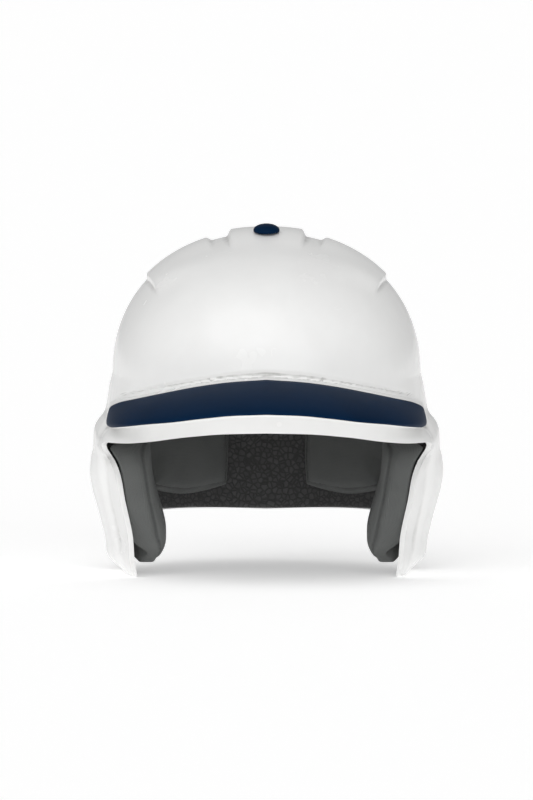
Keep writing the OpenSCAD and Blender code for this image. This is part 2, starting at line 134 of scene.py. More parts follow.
def in_edit_mode(piece, *operators):
    """Run edit-mode operators on the whole piece, one after another."""
    take(piece)
    bpy.ops.object.mode_set(mode="EDIT")
    for operator, values in operators:
        bpy.ops.mesh.select_all(action="SELECT")
        operator(**values)
    bpy.ops.object.mode_set(mode="OBJECT")
    return piece


def merged(piece, distance=0.002):
    return in_edit_mode(piece, (bpy.ops.mesh.remove_doubles, {"threshold": distance * MM}))


def outward(piece):
    return in_edit_mode(piece, (bpy.ops.mesh.normals_make_consistent, {"inside": False}))


def open_edges(piece):
    built = bmesh.new()
    built.from_mesh(piece.data)
    count = sum(1 for edge in built.edges if len(edge.link_faces) != 2)
    built.free()
    return count


def smooth(piece, degrees=30):
    take(piece)
    bpy.ops.object.shade_smooth_by_angle(angle=math.radians(degrees))
    return piece


def report(piece):
    print(f"{piece.name}: {len(piece.data.polygons)} faces, {open_edges(piece)} open edges")


# %% [markdown]
# ## Curves that a hand can steer
# A moulding's outline is easiest to steer by a few heights and widths. smooth_curve joins
# such points with a curve that never overshoots them, so a flap that is told to be flat
# between two heights stays flat. ease is its little brother: a step from 0 to 1 with soft ends.

# %% Curves and steps


def mix(a, b, w):
    return a + (b - a) * w


def ease(a, b, value):
    w = min(max((value - a) / (b - a), 0.0), 1.0)
    return w * w * (3 - 2 * w)


def signed_power(value, power):
    return math.copysign(abs(value) ** power, value)


def smooth_curve(*points):
    xs = [x for x, _ in points]
    ys = [y for _, y in points]
    rises = [(ys[i + 1] - ys[i]) / (xs[i + 1] - xs[i]) for i in range(len(xs) - 1)]
    inner = [0 if a * b <= 0 else 2 * a * b / (a + b) for a, b in zip(rises, rises[1:])]
    slopes = [rises[0], *inner, rises[-1]]

    def at(x):
        if x <= xs[0]:
            return ys[0]
        if x >= xs[-1]:
            return ys[-1]
        i = bisect.bisect_right(xs, x) - 1
        width = xs[i + 1] - xs[i]
        u = (x - xs[i]) / width
        start = (2 * u**3 - 3 * u**2 + 1) * ys[i] + (u**3 - 2 * u**2 + u) * slopes[i] * width
        end = (3 * u**2 - 2 * u**3) * ys[i + 1] + (u**3 - u**2) * slopes[i + 1] * width
        return start + end

    return at


# %% [markdown]
# ## The shell's surface
# The dome is a rounded box more than an egg, so its sections are superellipses: an ellipse
# whose exponent is a little over 2. Below the dome's widest level, the belt, the wall drops
# straight, and four curves say how far it then stands out at the front, at the flap's front
# edge, over the ear and at the rear. One function gives a point of the wall and another a
# point of the dome, and every later piece is laid on these two, so all of them fit.

# %% The wall and the dome
HALF_W, FRONT_L, REAR_L = 100.4, 114.0, 119.0
BELT_Z, DOME_H, POWER = 131.0, 90.6, 2.15
DOME_Y, WALL, FLAP_W = 26.5, 3.4, 232.0
ROUND = 2 / POWER

edge_out = smooth_curve(
    (0, -9), (12, -6.2), (25, -5.2), (38, -2.6), (50, 0), (64, 1.8), (75, 5), (80, 8),
    (86, 11), (91, 10), (96, 6.5), (100, 4), (107, 2.8), (116, 1.8), (131, 0),
)  # fmt: skip
side_out = smooth_curve(
    (0, -9.4), (13.8, 3.9), (21.5, 4.6), (33, 7.2), (45, 10.4), (57, 13.8),
    (66, FLAP_W / 2 - HALF_W), (76, 14.3), (82, 12.7), (92, 12.4), (95.7, 11.7), (99.6, 9.8),
    (103.5, 6.5), (107.4, 4.6), (115, 3.3), (123, 2), (131, 0),
)  # fmt: skip
rear_out = smooth_curve((30, -8), (60, -2.5), (90, 0.6), (131, 0))
edge_angle = smooth_curve((0, 70), (50, 70.5), (67, 72.4), (80, 74.2), (131, 74))
CREASE_ANGLE, CREASE_SHARE = 80, 0.32


def side_rise(angle, z):
    """How far the flap has risen from its front edge to its side: a flat lip, a soft step, a swell."""
    start = edge_angle(z)
    lip = CREASE_SHARE * max(angle - start, 0) / (CREASE_ANGLE - start)
    swell = CREASE_SHARE + (1 - CREASE_SHARE) * ease(CREASE_ANGLE - 8, 90, angle)
    return mix(lip, swell, ease(CREASE_ANGLE - 3, CREASE_ANGLE + 0.5, angle))


def stand_out(angle, z):
    if angle >= 96:
        return mix(side_out(z), rear_out(z), ease(98, 140, angle))
    flap = mix(edge_out(z), side_out(z), side_rise(angle, z))
    return flap * ease(45, 74, angle) if angle < 74 else flap


def wall_point(angle, z, depth=0.0):
    """A point of the wall: angle 0 is the front, 90 the wearer's left and 180 the rear."""
    turn = abs(angle)
    side = -1 if angle < 0 else 1
    length = FRONT_L if turn < 90 else REAR_L
    up = min(max((z - BELT_Z) / (DOME_H - depth), 0), 1)
    shrink = (1 - up**POWER) ** (ROUND / 2)
    ux = signed_power(math.sin(math.radians(turn)), ROUND)
    uy = -signed_power(math.cos(math.radians(turn)), ROUND)
    normal = Vector((signed_power(ux, POWER - 1) / HALF_W, signed_power(uy, POWER - 1) / length)).normalized()
    out = stand_out(turn, z)
    x = shrink * (HALF_W - depth) * ux + out * normal.x
    y = shrink * (length - depth) * uy + out * normal.y
    return Vector((side * x, DOME_Y + y, z))


S_BOW = 6


def dome_point(s, t, depth=0.0, raised=0.0):
    """A point of the dome: s degrees off the middle plane, t from the front over to the rear."""
    bowed = math.radians(s - S_BOW * math.sin(math.radians(2 * t)) ** 2 * math.sin(math.radians(2 * s)))
    t = math.radians(t)
    length = FRONT_L if math.cos(t) > 0 else REAR_L
    ring = abs(math.cos(bowed)) ** ROUND
    ux = signed_power(math.sin(bowed), ROUND)
    uy = -ring * signed_power(math.cos(t), ROUND)
    uz = ring * abs(math.sin(t)) ** ROUND
    q = POWER - 1
    bent = (signed_power(ux, q) / HALF_W, signed_power(uy, q) / length, signed_power(uz, q) / DOME_H)
    x, y, z = (HALF_W - depth) * ux, (length - depth) * uy, (DOME_H - depth) * uz
    return Vector((x, DOME_Y + y, BELT_Z + z)) + raised * Vector(bent).normalized()


def angle_at(y, depth=0.0):
    length = (FRONT_L if y < 0 else REAR_L) - depth
    return math.degrees(math.acos(-math.copysign(min(abs(y) / length, 1) ** (1 / ROUND), y)))


def side_point(y, z, depth=0.0):
    """A point of the wearer's left wall, y behind the widest section."""
    return Vector((wall_point(angle_at(y, depth), z, depth).x, DOME_Y + y, z))


print("widest point of the flaps:", round(2 * side_point(0, 66).x, 1), "mm")

# %% [markdown]
# ## Laying a grid on a surface
# A grid primitive is a flat sheet of squares. Sending each of its points to a place on a
# surface is what a sculptor does with a damp cloth over clay, and it keeps the squares in
# rows, which smooth shading and bevels like. laid_grid takes the positions of its columns and
# rows as lists, so lines can crowd where a step or a rim needs them. Two such sheets with their
# borders bridged make a slab, and a sheet whose sides meet makes a tube with two open ends.

# %% Grids on surfaces


def even(a, b, count):
    return [a + (b - a) * i / count for i in range(count)]


def laid_grid(name, columns, rows, place):
    let_go()
    bpy.ops.mesh.primitive_grid_add(x_subdivisions=len(columns) - 1, y_subdivisions=len(rows) - 1, size=2)
    piece = bpy.context.object
    piece.name = piece.data.name = name
    for point in piece.data.vertices:
        i = round((point.co.x + 1) / 2 * (len(columns) - 1))
        j = round((point.co.y + 1) / 2 * (len(rows) - 1))
        point.co = Vector(place(columns[i], rows[j])) * MM
    return piece


def closed_ends(piece):
    """Close the holes at the ends of a tube with flat faces."""
    merged(piece)
    in_edit_mode(piece, (bpy.ops.mesh.fill_holes, {"sides": 0}))
    return outward(piece)


def bridged(sheet, under):
    """Join two sheets of the same grid along their borders."""
    let_go()
    under.select_set(True)
    sheet.select_set(True)
    bpy.context.view_layer.objects.active = sheet
    bpy.ops.object.join()
    bpy.ops.object.mode_set(mode="EDIT")
    bpy.ops.mesh.select_mode(type="EDGE")
    bpy.ops.mesh.select_all(action="DESELECT")
    bpy.ops.mesh.select_non_manifold()
    bpy.ops.mesh.bridge_edge_loops()
    bpy.ops.object.mode_set(mode="OBJECT")
    return outward(sheet)


def slab(name, columns, rows, place, low, high):
    """A closed slab between the depths low and high, both read from place(u, v, depth)."""
    top = laid_grid(name, columns, rows, lambda u, v: place(u, v, low))
    return bridged(top, laid_grid(name + "_under", columns, rows, lambda u, v: place(u, v, high)))


# %% [markdown]
# ## The outer shell
# The crown carries a raised ridge along the middle and a wider one on each side, with a
# channel between them. Each is a low step added along the surface's own direction, strongest
# at the top and fading to nothing before it reaches the front. A boolean could stack blocks on
# the dome instead, but steps made in the surface keep the soft edges a mould gives.

# %% Ridges
MID_EDGE, SIDE_INNER, SIDE_OUTER = (11.4, 13.8), (19.2, 21.4), (47.6, 50.0)
MID_RIDGE_H, SIDE_RIDGE_H = 4.4, 2.8


def ridge_height(s, t):
    s = abs(s)
    middle = (1 - ease(*MID_EDGE, s)) * ease(66, 86, t)
    inner = mix(ease(SIDE_INNER[0], SIDE_OUTER[0], s), ease(*SIDE_INNER, s), ease(70, 88, t))
    side = inner * (1 - ease(*SIDE_OUTER, s)) * ease(50, 64, t)
    return (1 - ease(138, 160, t)) * (MID_RIDGE_H * middle + SIDE_RIDGE_H * side)


# %% [markdown]
# Above the bill a shallow crease, widest in the middle, marks where the dome turns into the
# bill. It is a groove in the same surface: each point within it is drawn in by a little.

# %% The crease over the bill
root_z = smooth_curve(
    (0, 136.1), (10.7, 134.6), (23, 131.6), (36.6, 127.5), (49.7, 123.7), (68.6, 118.9), (76, 116.5),
)  # fmt: skip
CREASE_H, CREASE_END, CREASE_DEPTH = 4.2, 71, 1.5


def plan_angle(point):
    x, y = point.x / HALF_W, (DOME_Y - point.y) / FRONT_L
    if y <= 0.05:
        return 90
    return math.degrees(math.atan2(abs(x) ** (1 / ROUND), y ** (1 / ROUND)))


def creased(point):
    angle = plan_angle(point)
    if angle >= CREASE_END:
        return point
    fade = 1 - (angle / CREASE_END) ** 2
    w = (point.z - root_z(angle)) / (CREASE_H * fade + 0.3)
    if not 0 < w < 1:
        return point
    inward = Vector((-point.x, DOME_Y - point.y, 0)).normalized()
    return point + inward * CREASE_DEPTH * fade**0.5 * ease(0, 0.22, w) * (1 - ease(0.35, 1, w))


# %% [markdown]
# The dome is a grid whose left and right columns each shrink to one point at the temples.
# A second grid runs round the belt and down to the rim, whose angle and height are given all
# the way round: the brow, the corner under the bill, the flap's front edge, its flat foot, and
# the rise to the nape. The two share their points along the belt, so merging doubles sews them.

# %% The dome and the skirt
half_lines = (
    even(0, MID_EDGE[0], 5) + even(*MID_EDGE, 5) + even(MID_EDGE[1], SIDE_INNER[0], 3)
    + even(*SIDE_INNER, 5) + even(SIDE_INNER[1], SIDE_OUTER[0], 12) + even(*SIDE_OUTER, 5)
    + even(SIDE_OUTER[1], 72, 11) + even(72, 84, 20) + even(84, 90, 18) + [90]
)  # fmt: skip
s_lines = [-s for s in half_lines[:0:-1]] + half_lines
t_lines = even(0, 8, 14) + even(8, 172, 66) + even(172, 180, 4) + [180]
belt_angles = s_lines + [(-180 if s < 0 else 180) - s for s in s_lines[-2::-1]]

rim_angle = smooth_curve(
    (0, 0), (30, 29.5), (50, 49.7), (60, 60), (72, 71), (75, 73.6), (77, 74.2), (79, 72.4), (81, 70.6),
    (83, 69.7), (85, 69.8), (87.5, 73), (90, 79), (92.5, 87), (95, 94.5), (97, 99.5), (99, 103),
    (101, 106), (103, 109), (105, 113), (108, 120), (114, 129), (120, 136), (150, 158), (180, 180),
)  # fmt: skip
rim_z = smooth_curve(
    (0, 99.1), (13.5, 98.4), (30, 95.6), (50, 90.7), (60, 88.9), (72, 88.3), (75, 86.5), (77, 80),
    (79, 67), (81, 50), (83, 30), (85, 10), (87.5, 0.3), (90, 0), (92.5, 0), (95, 0), (97, 0),
    (99, 4), (101, 12), (103, 20), (105, 27), (108, 32.5), (114, 35), (120, 35.6), (150, 35), (180, 33.7),
)  # fmt: skip
BAND_Z = 123


def skirt_point(angle, v, depth=0.0):
    """v runs from 0 at the belt over 1 at the foot of the band to 2 at the rim."""
    turn = abs(angle)
    w = max(v - 1, 0)
    z = mix(BELT_Z, BAND_Z, v) if v <= 1 else mix(BAND_Z, rim_z(turn), w)
    return wall_point(math.copysign(mix(turn, rim_angle(turn), w), angle), z, depth)


skirt_rows = even(2, 1, 44) + even(1, 0, 8) + [0]


def skin(name, depth):
    def on_top(s, t):
        return creased(dome_point(s, t, depth, ridge_height(s, t)))

    dome = laid_grid(name, s_lines, t_lines, on_top)
    laid_grid("skirt", belt_angles, skirt_rows, lambda a, v: creased(skirt_point(a, v, depth)))
    dome.select_set(True)
    bpy.context.view_layer.objects.active = dome
    bpy.ops.object.join()
    return merged(bpy.context.object, 0.01)


shell = skin("shell", 0)
report(shell)

# %% [markdown]
# The moulding has one wall thickness nearly everywhere. Solidify could grow the inner face
# from the outer one, but at the tight corner in front of the flap its lines cross and throw
# spikes. So a second skin is laid a wall deeper, and the two borders are bridged. The rim is
# then the only sharp corner, and a bevel limited by angle rounds just that.

# %% Wall and rim
shell = bridged(shell, skin("shell_inside", WALL))
bevelled(shell, 1.1, 55, segments=3)
report(shell)

# %% [markdown]
# ## The bill
# The bill is part of the same moulding. It grows out of the dome along the root line and dips
# towards its front edge, and a shallow pocket in its upper face takes the coloured panel. It
# could be a flat plate bent by a modifier, but its section changes all the way round. So one
# section is described as a closed loop: along the underside to the front edge, then back over
# the top, down into the pocket and out again. Laid at every angle, the loop makes a tube.

# %% A section of the bill
BILL_ANGLE, BILL_Y, BILL_L, BILL_HALF_W, BILL_T = 76, -30.0, 142.0, 101.6, 4.2
RIM_LIP, BILL_BULGE, SIDE_LEAN, FRONT_LEAN = 1.0, 2.0, 3, 0.35
PANEL_ANGLE, PANEL_T, POCKET_DEPTH, POCKET_GAP = 74.5, 0.88, 1.45, 0.008
edge_z = smooth_curve(
    (0, 114), (10.3, 113.2), (22, 110.8), (34.7, 107.6), (46.9, 105.2), (63, 101.6), (79.6, 98.6), (90, 97.6),
)  # fmt: skip
panel_from = smooth_curve((0, 0.12), (60, 0.14), (70, 0.2), (73, 0.24), (74.5, 0.3))
panel_to = smooth_curve((0, 1), (64, 1), (69, 0.97), (72, 0.86), (74, 0.62), (74.5, 0.5))


def bill_point(angle, u, depth=None):
    """u runs from the root to the front edge. No depth means the underside."""
    turn = abs(angle)
    quarter = turn * 90 / BILL_ANGLE
    plan = math.radians(quarter)
    across = BILL_HALF_W * math.sin(plan) ** ROUND
    ahead = BILL_L * max(math.cos(plan), 0) ** ROUND
    edge = Vector((math.copysign(across, angle), DOME_Y + BILL_Y - ahead, edge_z(quarter)))
    root = wall_point(angle, root_z(turn), WALL / 2) - Vector((0, 0, BILL_T))
    inside = min(max(u, 0), 1)
    thick = RIM_LIP + (BILL_T - RIM_LIP) * (0.38 + 0.62 * math.sqrt(1 - inside**8))
    up = 0 if depth is None else thick - depth
    up += BILL_BULGE * math.sin(math.pi * inside) * (1 - ease(45, BILL_ANGLE, turn))
    c, s = math.cos(math.radians(angle)), math.sin(math.radians(angle))
    lean = Vector((SIDE_LEAN * signed_power(s, 2), -FRONT_LEAN * c, 1))
    return root.lerp(edge, u) + up * lean.normalized()


def ramp(value):
    return min(max(value, 0), 1)


def bill_section(angle, row):
    side, k = row
    if side == "under":
        return bill_point(angle, k)
    turn = abs(angle)
    start, end = panel_from(turn), panel_to(turn)
    stops = [1, min(end + POCKET_GAP, 1), end, start, start - POCKET_GAP, 0]
    i = min(int(k), 4)
    u = mix(stops[i], stops[i + 1], k - i)
    sunk = ramp((u - start) / POCKET_GAP + 1) * ramp(1 - (u - end) / POCKET_GAP)
    return bill_point(angle, u, POCKET_DEPTH * (sunk * ramp(1 - (turn - PANEL_ANGLE) / 0.2)))


edge_shares = [0, 0.003, 0.01, 0.025, 0.05, 0.09, 0.14, 0.2, 0.3, 0.42, 0.55, 0.68, 0.8, 0.9, 1]
over = [0, 0.5, 1, 1.5] + [2 + share for share in edge_shares[:-1]] + [3, 3.5, 4, 4.25, 4.5, 4.75, 5]
bill_rows = [("under", u) for u in even(0, 1, 12) + [1]] + [("over", k) for k in over] + [("under", 0)]
half_angles = even(0, 60, 44) + even(60, 72, 16) + even(72, 74.5, 8) + [74.5, 74.7, 75, 75.5, 76]
bill_angles = [-a for a in half_angles[:0:-1]] + half_angles
bill = laid_grid("bill", bill_angles, bill_rows, bill_section)
closed_ends(bill)
report(bill)

# %% [markdown]
# A boolean union welds the bill to the dome, as they are one moulding. Both are closed, so the
# manifold solver can be used, which leaves no gaps along the seam.

# %% Weld the bill on


def boolean(piece, other, operation):
    apply_modifier(piece, "BOOLEAN", object=other, operation=operation, solver="MANIFOLD")
    bpy.data.objects.remove(other)
    return piece


boolean(shell, bill, "UNION")
report(shell)

# %% [markdown]
# ## Openings in the shell
# Each flap has a round ear hole, and the channels at the back of the crown have four slots
# that let warm air out. Moulded openings have softened edges. A bevel after a boolean is
# fragile, so the cutter has the soft edge instead: a plug that is narrow in the middle of the
# wall and flares at both faces. Its rings follow the wall, so the flare is the same all round.

# %% Flared cutters
EAR_Y, EAR_Z, EAR_HOLE_R = 8, 66, 15
VENT_S, VENT_TS, VENT_HALF_S, VENT_HALF_T = 16.5, (106, 126), 2.0, 5.8
MM_PER_S, MM_PER_T = 1.75, 2.08
HALF_FLARE = [(-4, 3.6), (-0.9, 1.25), (-0.2, 0.9), (0.25, 0.5), (0.9, 0.14), (WALL / 2, 0)]
FLARE = HALF_FLARE + [(round(WALL - depth, 2), grow) for depth, grow in HALF_FLARE[-2::-1]]
turns = even(0, 360, 64) + [360]


def ear_cut(turn, ring):
    depth, grow = ring
    y, z = math.cos(math.radians(turn)), math.sin(math.radians(turn))
    return side_point(EAR_Y + (EAR_HOLE_R + grow) * y, EAR_Z + (EAR_HOLE_R + grow) * z, depth)


def vent_cut(side, t):
    def place(turn, ring):
        depth, grow = ring
        across = (VENT_HALF_S + grow / MM_PER_S) * signed_power(math.cos(math.radians(turn)), 0.5)
        along = (VENT_HALF_T + grow / MM_PER_T) * signed_power(math.sin(math.radians(turn)), 0.5)
        return dome_point(side * VENT_S + across, t + along, depth)

    return place


cutters = [closed_ends(laid_grid("ear_cut", turns, FLARE, ear_cut))]
for side in (-1, 1):
    for t in VENT_TS:
        cutters.append(closed_ends(laid_grid("vent_cut", turns, FLARE, vent_cut(side, t))))


def mirrored(piece, name):
    take(piece)
    bpy.ops.object.duplicate()
    twin = bpy.context.object
    twin.name = twin.data.name = name
    twin.scale.x = -1
    bpy.ops.object.transform_apply(location=False, rotation=False, scale=True)
    return outward(twin)


cutters.append(mirrored(cutters[0], "right_ear_cut"))

# %% [markdown]
# The crown button's stem goes through a hole at the top of the middle ridge. The button sits
# square on the ridge there, so its tilt is read from two points of the surface.

# %% Cut the openings
BUTTON_T, STEM_D, STEM_GAP = 80.2, 4.6, 0.3
button_seat = dome_point(0, BUTTON_T, 0, ridge_height(0, BUTTON_T))
run = dome_point(0, BUTTON_T + 1) - dome_point(0, BUTTON_T - 1)
BUTTON_TILT = math.atan2(run.z, run.y)


def stem_cut(radius, length, vertices):
    """A rod along the button's stem."""
    let_go()
    bpy.ops.mesh.primitive_cylinder_add(vertices=vertices, radius=radius * MM, depth=length * MM)
    rod = bpy.context.object
    rod.location, rod.rotation_euler.x = button_seat * MM, BUTTON_TILT
    return settle(rod)


cutters.append(stem_cut(STEM_D / 2 + STEM_GAP, 30, 32))
for cutter in cutters:
    boolean(shell, cutter, "DIFFERENCE")
smooth(shell, 32)
report(shell)

# %% [markdown]
# ## The bill's coloured panel
# The panel is a thin vacuum-formed skin glued into the pocket. It is another closed loop laid
# round the same angles: over the top from the white strip at the root to the front edge, and
# back along its glued face. A small bevel stops its edge from looking like cut paper.

# %% Bill panel
panel_shares = [1 - share for share in edge_shares]
panel_rows = [(w, 0) for w in panel_shares] + [(w, PANEL_T) for w in panel_shares[::-1]]
panel_rows += [(panel_shares[0], 0)]


def panel_section(angle, row):
    share, depth = row
    turn = abs(angle)
    return bill_point(angle, mix(panel_from(turn), panel_to(turn), share), depth)


panel_angles = [a for a in bill_angles if abs(a) <= PANEL_ANGLE]
panel = laid_grid("navy_bill_panel", panel_angles, panel_rows, panel_section)
closed_ends(panel)
bevelled(panel, 0.22, 50, segments=2)
smooth(panel, 40)
report(panel)

# %% [markdown]
# ## The crown button
# The button is a domed cap turned in one piece with its stem. A lathe profile is a list of
# radii and heights: a disc is extruded from one to the next and scaled as it goes, which is
# how one would pull it up by hand.

# %% Crown button


def turned(name, profile, vertices=64):
    let_go()
    radius, height = profile[0]
    bpy.ops.mesh.primitive_circle_add(vertices=vertices, radius=radius * MM, fill_type="NGON")
    piece = bpy.context.object
    piece.name = piece.data.name = name
    bpy.ops.object.mode_set(mode="EDIT")
    bpy.ops.mesh.select_all(action="SELECT")
    bpy.ops.transform.translate(value=(0, 0, height * MM))
    for (r0, h0), (r1, h1) in zip(profile, profile[1:]):
        bpy.ops.mesh.extrude_region_move(TRANSFORM_OT_translate={"value": (0, 0, (h1 - h0) * MM)})
        bpy.ops.transform.resize(value=(r1 / r0, r1 / r0, 1), center_override=(0, 0, h1 * MM))
    bpy.ops.object.mode_set(mode="OBJECT")
    return outward(piece)


BUTTON_R, BUTTON_EDGE, BUTTON_H = 8.5, 1.6, 5.6
cap = [
    (BUTTON_R * math.cos(math.radians(a)), BUTTON_EDGE + (BUTTON_H - BUTTON_EDGE) * math.sin(math.radians(a)))
    for a in (7, 14, 21, 28, 36, 44, 52, 60, 68, 76, 82, 86, 88.5)
]
stem = [(STEM_D / 2, -9), (STEM_D / 2, 0.2)]
lip = [(7.6, 0.2), (8.1, 0.3), (8.38, 0.55), (BUTTON_R, 0.95), (BUTTON_R, BUTTON_EDGE)]
button = turned("navy_crown_button", stem + lip + cap)
button.rotation_euler.x = BUTTON_TILT
button.location = button_seat * MM
settle(button)
smooth(button, 40)
report(button)

# %% [markdown]
# ## Impact foam
# Under the shell lie moulded blocks of stiff bead foam, nine in all, each following the wall.
# A block is a grid whose corners are drawn in a little, given thickness by a second grid
# deeper in the shell. A bevel rounds its cut edges.

# %% Foam on the wall and on the dome
FOAM_FROM, FOAM_TO, EAR_FOAM_TO = 4.35, 13.85, 12.85
NUT_CLEARANCE_R = 6.25
NAPE_HALF_ANGLE, NAPE_LOW, NAPE_DIP, FOAM_TOP = 59, 36.2, 1.3, 154


def plump(u, v, k):
    return u * math.sqrt(1 - k * v * v), v * math.sqrt(1 - k * u * u)


def on_wall(a0, a1, z0, z1, k):
    def place(u, v, depth):
        x, y = plump(u, v, k)
        return wall_point(mix(a0, a1, (x + 1) / 2), mix(z0, z1, (y + 1) / 2), depth)

    return place


def on_dome(s, t, half_s, half_t, k):
    def place(u, v, depth):
        x, y = plump(u, v, k)
        return dome_point(s + half_s * x, t + half_t * y, depth)

    return place


def on_nape(u, v, depth):
    x, y = plump(u, v, 0.04)
    angle = 180 + NAPE_HALF_ANGLE * x
    foot = NAPE_LOW - NAPE_DIP * ease(140, 180, 180 - abs(180 - angle))
    return wall_point(angle - 360 if angle > 180 else angle, mix(foot, FOAM_TOP, (y + 1) / 2), depth)


def foam_edges(block):
    bevelled(block, 1.7, 45, segments=3)
    smooth(block, 50)
    report(block)
    return block


def foam_block(name, place, columns, rows):
    across, up = even(-1, 1, columns) + [1], even(-1, 1, rows) + [1]
    return foam_edges(slab(name, across, up, place, FOAM_FROM, FOAM_TO))


brow_foam = foam_block("foam_brow", on_wall(-60, 60, 101.5, 156, 0.04), 56, 16)
nape_foam = foam_block("foam_rear", on_nape, 56, 30)
temple_foam = foam_block("foam_left_temple", on_wall(62, 118, 101.5, 156, 0.04), 30, 16)
side_foam = foam_block("foam_left_crown", on_dome(40, 92, 18.6, 58, 0.08), 16, 56)
top_foam = foam_block("foam_crown", on_dome(0, 92, 10.6, 58, 0.08), 10, 56)
boolean(top_foam, stem_cut(NUT_CLEARANCE_R, 60, 48), "DIFFERENCE")
report(top_foam)

# %% [markdown]
# Round each ear the foam is a ring, so that it leaves the ear hole free. A ring is a tube bent
# into a circle: its section runs once round, and its angle goes round the ear.

# %% Ear foam
RING_Y, RING_Z = 4, 64
FOAM_REACH, FOAM_HOLE, FOAM_POWER = (26, 38, 32, 46), (18, 20), 5


def ring_spot(turn, w, reach, hole, power):
    """A place beside the ear, y and z, at the share w of the way from the hole to the outline."""
    c, s = math.cos(math.radians(turn)), math.sin(math.radians(turn))
    far_y = (reach[0] if c < 0 else reach[1]) * signed_power(c, 2 / power)
    far_z = (reach[2] if s > 0 else reach[3]) * signed_power(s, 2 / power)
    return RING_Y + mix(hole[0] * c, far_y, w), RING_Z + mix(hole[1] * s, far_z, w)


def ear_foam_point(turn, row):
    w, depth = row
    y, z = ring_spot(turn, w, FOAM_REACH, FOAM_HOLE, FOAM_POWER)
    return side_point(y, z, depth)


ring_shares = even(0, 1, 5) + [1]
ear_rows = [(w, FOAM_FROM) for w in ring_shares] + [(w, EAR_FOAM_TO) for w in ring_shares[::-1]]
ear_rows += [(0, FOAM_FROM)]
ear_foam = outward(merged(laid_grid("foam_left_ear", even(0, 360, 90) + [360], ear_rows, ear_foam_point)))
foam_edges(ear_foam)
foams = {
    "brow_foam": brow_foam,
    "rear_foam": nape_foam,
    "crown_foam": top_foam,
    "left_temple_foam": temple_foam,
    "right_temple_foam": mirrored(temple_foam, "foam_right_temple"),
    "left_crown_foam": side_foam,
    "right_crown_foam": mirrored(side_foam, "foam_right_crown"),
    "left_ear_foam": ear_foam,
    "right_ear_foam": mirrored(ear_foam, "foam_right_ear"),
}

# %% [markdown]
# ## Sewn comfort pads
# A comfort pad is a soft foam slice in a knitted cover, glued to the block behind it and sewn
# a few millimetres inside its border. A plain block would look cut from rubber. So each pad
# starts a little thin and is blown up as cloth with its back held still, and the cover then
# finds its own crown. Its grid has lines close together at the border, for the seam.
#
# The cover carries an attribute called weave: where each point lies on the flat cloth, in
# millimetres, and how far it is from the border. The knit follows it however the pad swells.

# %% Pad grids
PAD_FROM, PAD_TO, SEAM, TURN_UNDER = 14.75, 23.25, 2.6, 3.4
SEAM_LINES = [0, 0.8, 1.6, 2.2, SEAM, 3.0, 3.6, 4.6, 6.2, 8.4]


def pad_lines(length):
    inner = max(2, round((length - 2 * SEAM_LINES[-1]) / 4))
    lines = SEAM_LINES[:-1] + even(SEAM_LINES[-1], length - SEAM_LINES[-1], inner)
    lines += [length - line for line in SEAM_LINES[::-1]]
    return [2 * line / length - 1 for line in lines]


def with_weave(piece, columns, rows, place):
    """Store place(column, row) for each point of a fresh grid."""
    weave = piece.data.attributes.new("weave", "FLOAT_VECTOR", "POINT")
    width = len(columns)
    for i, spot in enumerate(weave.data):
        spot.vector = place(columns[i % width], rows[i // width])
    return piece


def sewn_pad(name, place, width, height, start=0.8):
    """A thin closed pad, width by height in millimetres, with its weave."""
    columns, rows = pad_lines(width), pad_lines(height)

    def crowned(u, v, depth):
        cushion = 1 - 0.6 * max(abs(u) ** 4, abs(v) ** 4)
        return place(u, v, PAD_FROM + (depth - PAD_FROM) * cushion * start)

    def on_cloth(u, v):
        return width / 2 * u, height / 2 * v, min(width / 2 * (1 - abs(u)), height / 2 * (1 - abs(v)))

    def behind(u, v):
        return (width / 2 + TURN_UNDER) * u, (height / 2 + TURN_UNDER) * v, -1

    def sheet(label, depth, woven):
        fresh = laid_grid(label, columns, rows, lambda u, v: crowned(u, v, depth))
        return with_weave(fresh, columns, rows, woven)

    return bridged(sheet(name, PAD_FROM, behind), sheet(name + "_front", PAD_TO, on_cloth))


# %% [markdown]
# The blowing up is a cloth simulation of 20 frames. The points that face the foam are pinned,
# and no point may move further than a cap, so a pad can't swell into its neighbour.

# %% Blow a pad up
CLOTH_FRAMES = 20


def weave_of(piece):
    return [spot.vector.copy() for spot in piece.data.attributes["weave"].data]


def swollen(piece, pressure=30.0, cap=2.5):
    start = [point.co.copy() for point in piece.data.vertices]
    held = piece.vertex_groups.new(name="held")
    held.add([i for i, spot in enumerate(weave_of(piece)) if spot.z < 0], 1.0, "REPLACE")
    take(piece)
    added = piece.modifiers.new("Cloth", "CLOTH")
    added.settings.vertex_group_mass = "held"
    added.settings.use_pressure = True
    added.settings.uniform_pressure_force = pressure
    added.settings.effector_weights.gravity = 0
    added.point_cache.frame_start, added.point_cache.frame_end = 1, CLOTH_FRAMES
    for number in range(1, CLOTH_FRAMES + 1):
        scene.frame_set(number)
    bpy.ops.object.modifier_apply(modifier=added.name)
    scene.frame_set(1)
    piece.vertex_groups.clear()
    furthest = 0
    for point, before in zip(piece.data.vertices, start):
        move = point.co - before
        furthest = max(furthest, move.length)
        if move.length > cap * MM:
            point.co = before + move.normalized() * cap * MM
    print(f"{piece.name}: swelled by up to {furthest / MM:.1f} mm")
    return piece


# %% [markdown]
# The seam pulls the cover down into a groove. It comes after the cloth, along the line that
# the weave says is the seam's distance from the border. One subdivision then rounds the pad.
# The stitches are small capsules laid along the same line, all copies of one.

# %% Seam and stitches
GROOVE, GROOVE_HALF, STITCH_STEP = 0.9, 0.75, 3.7


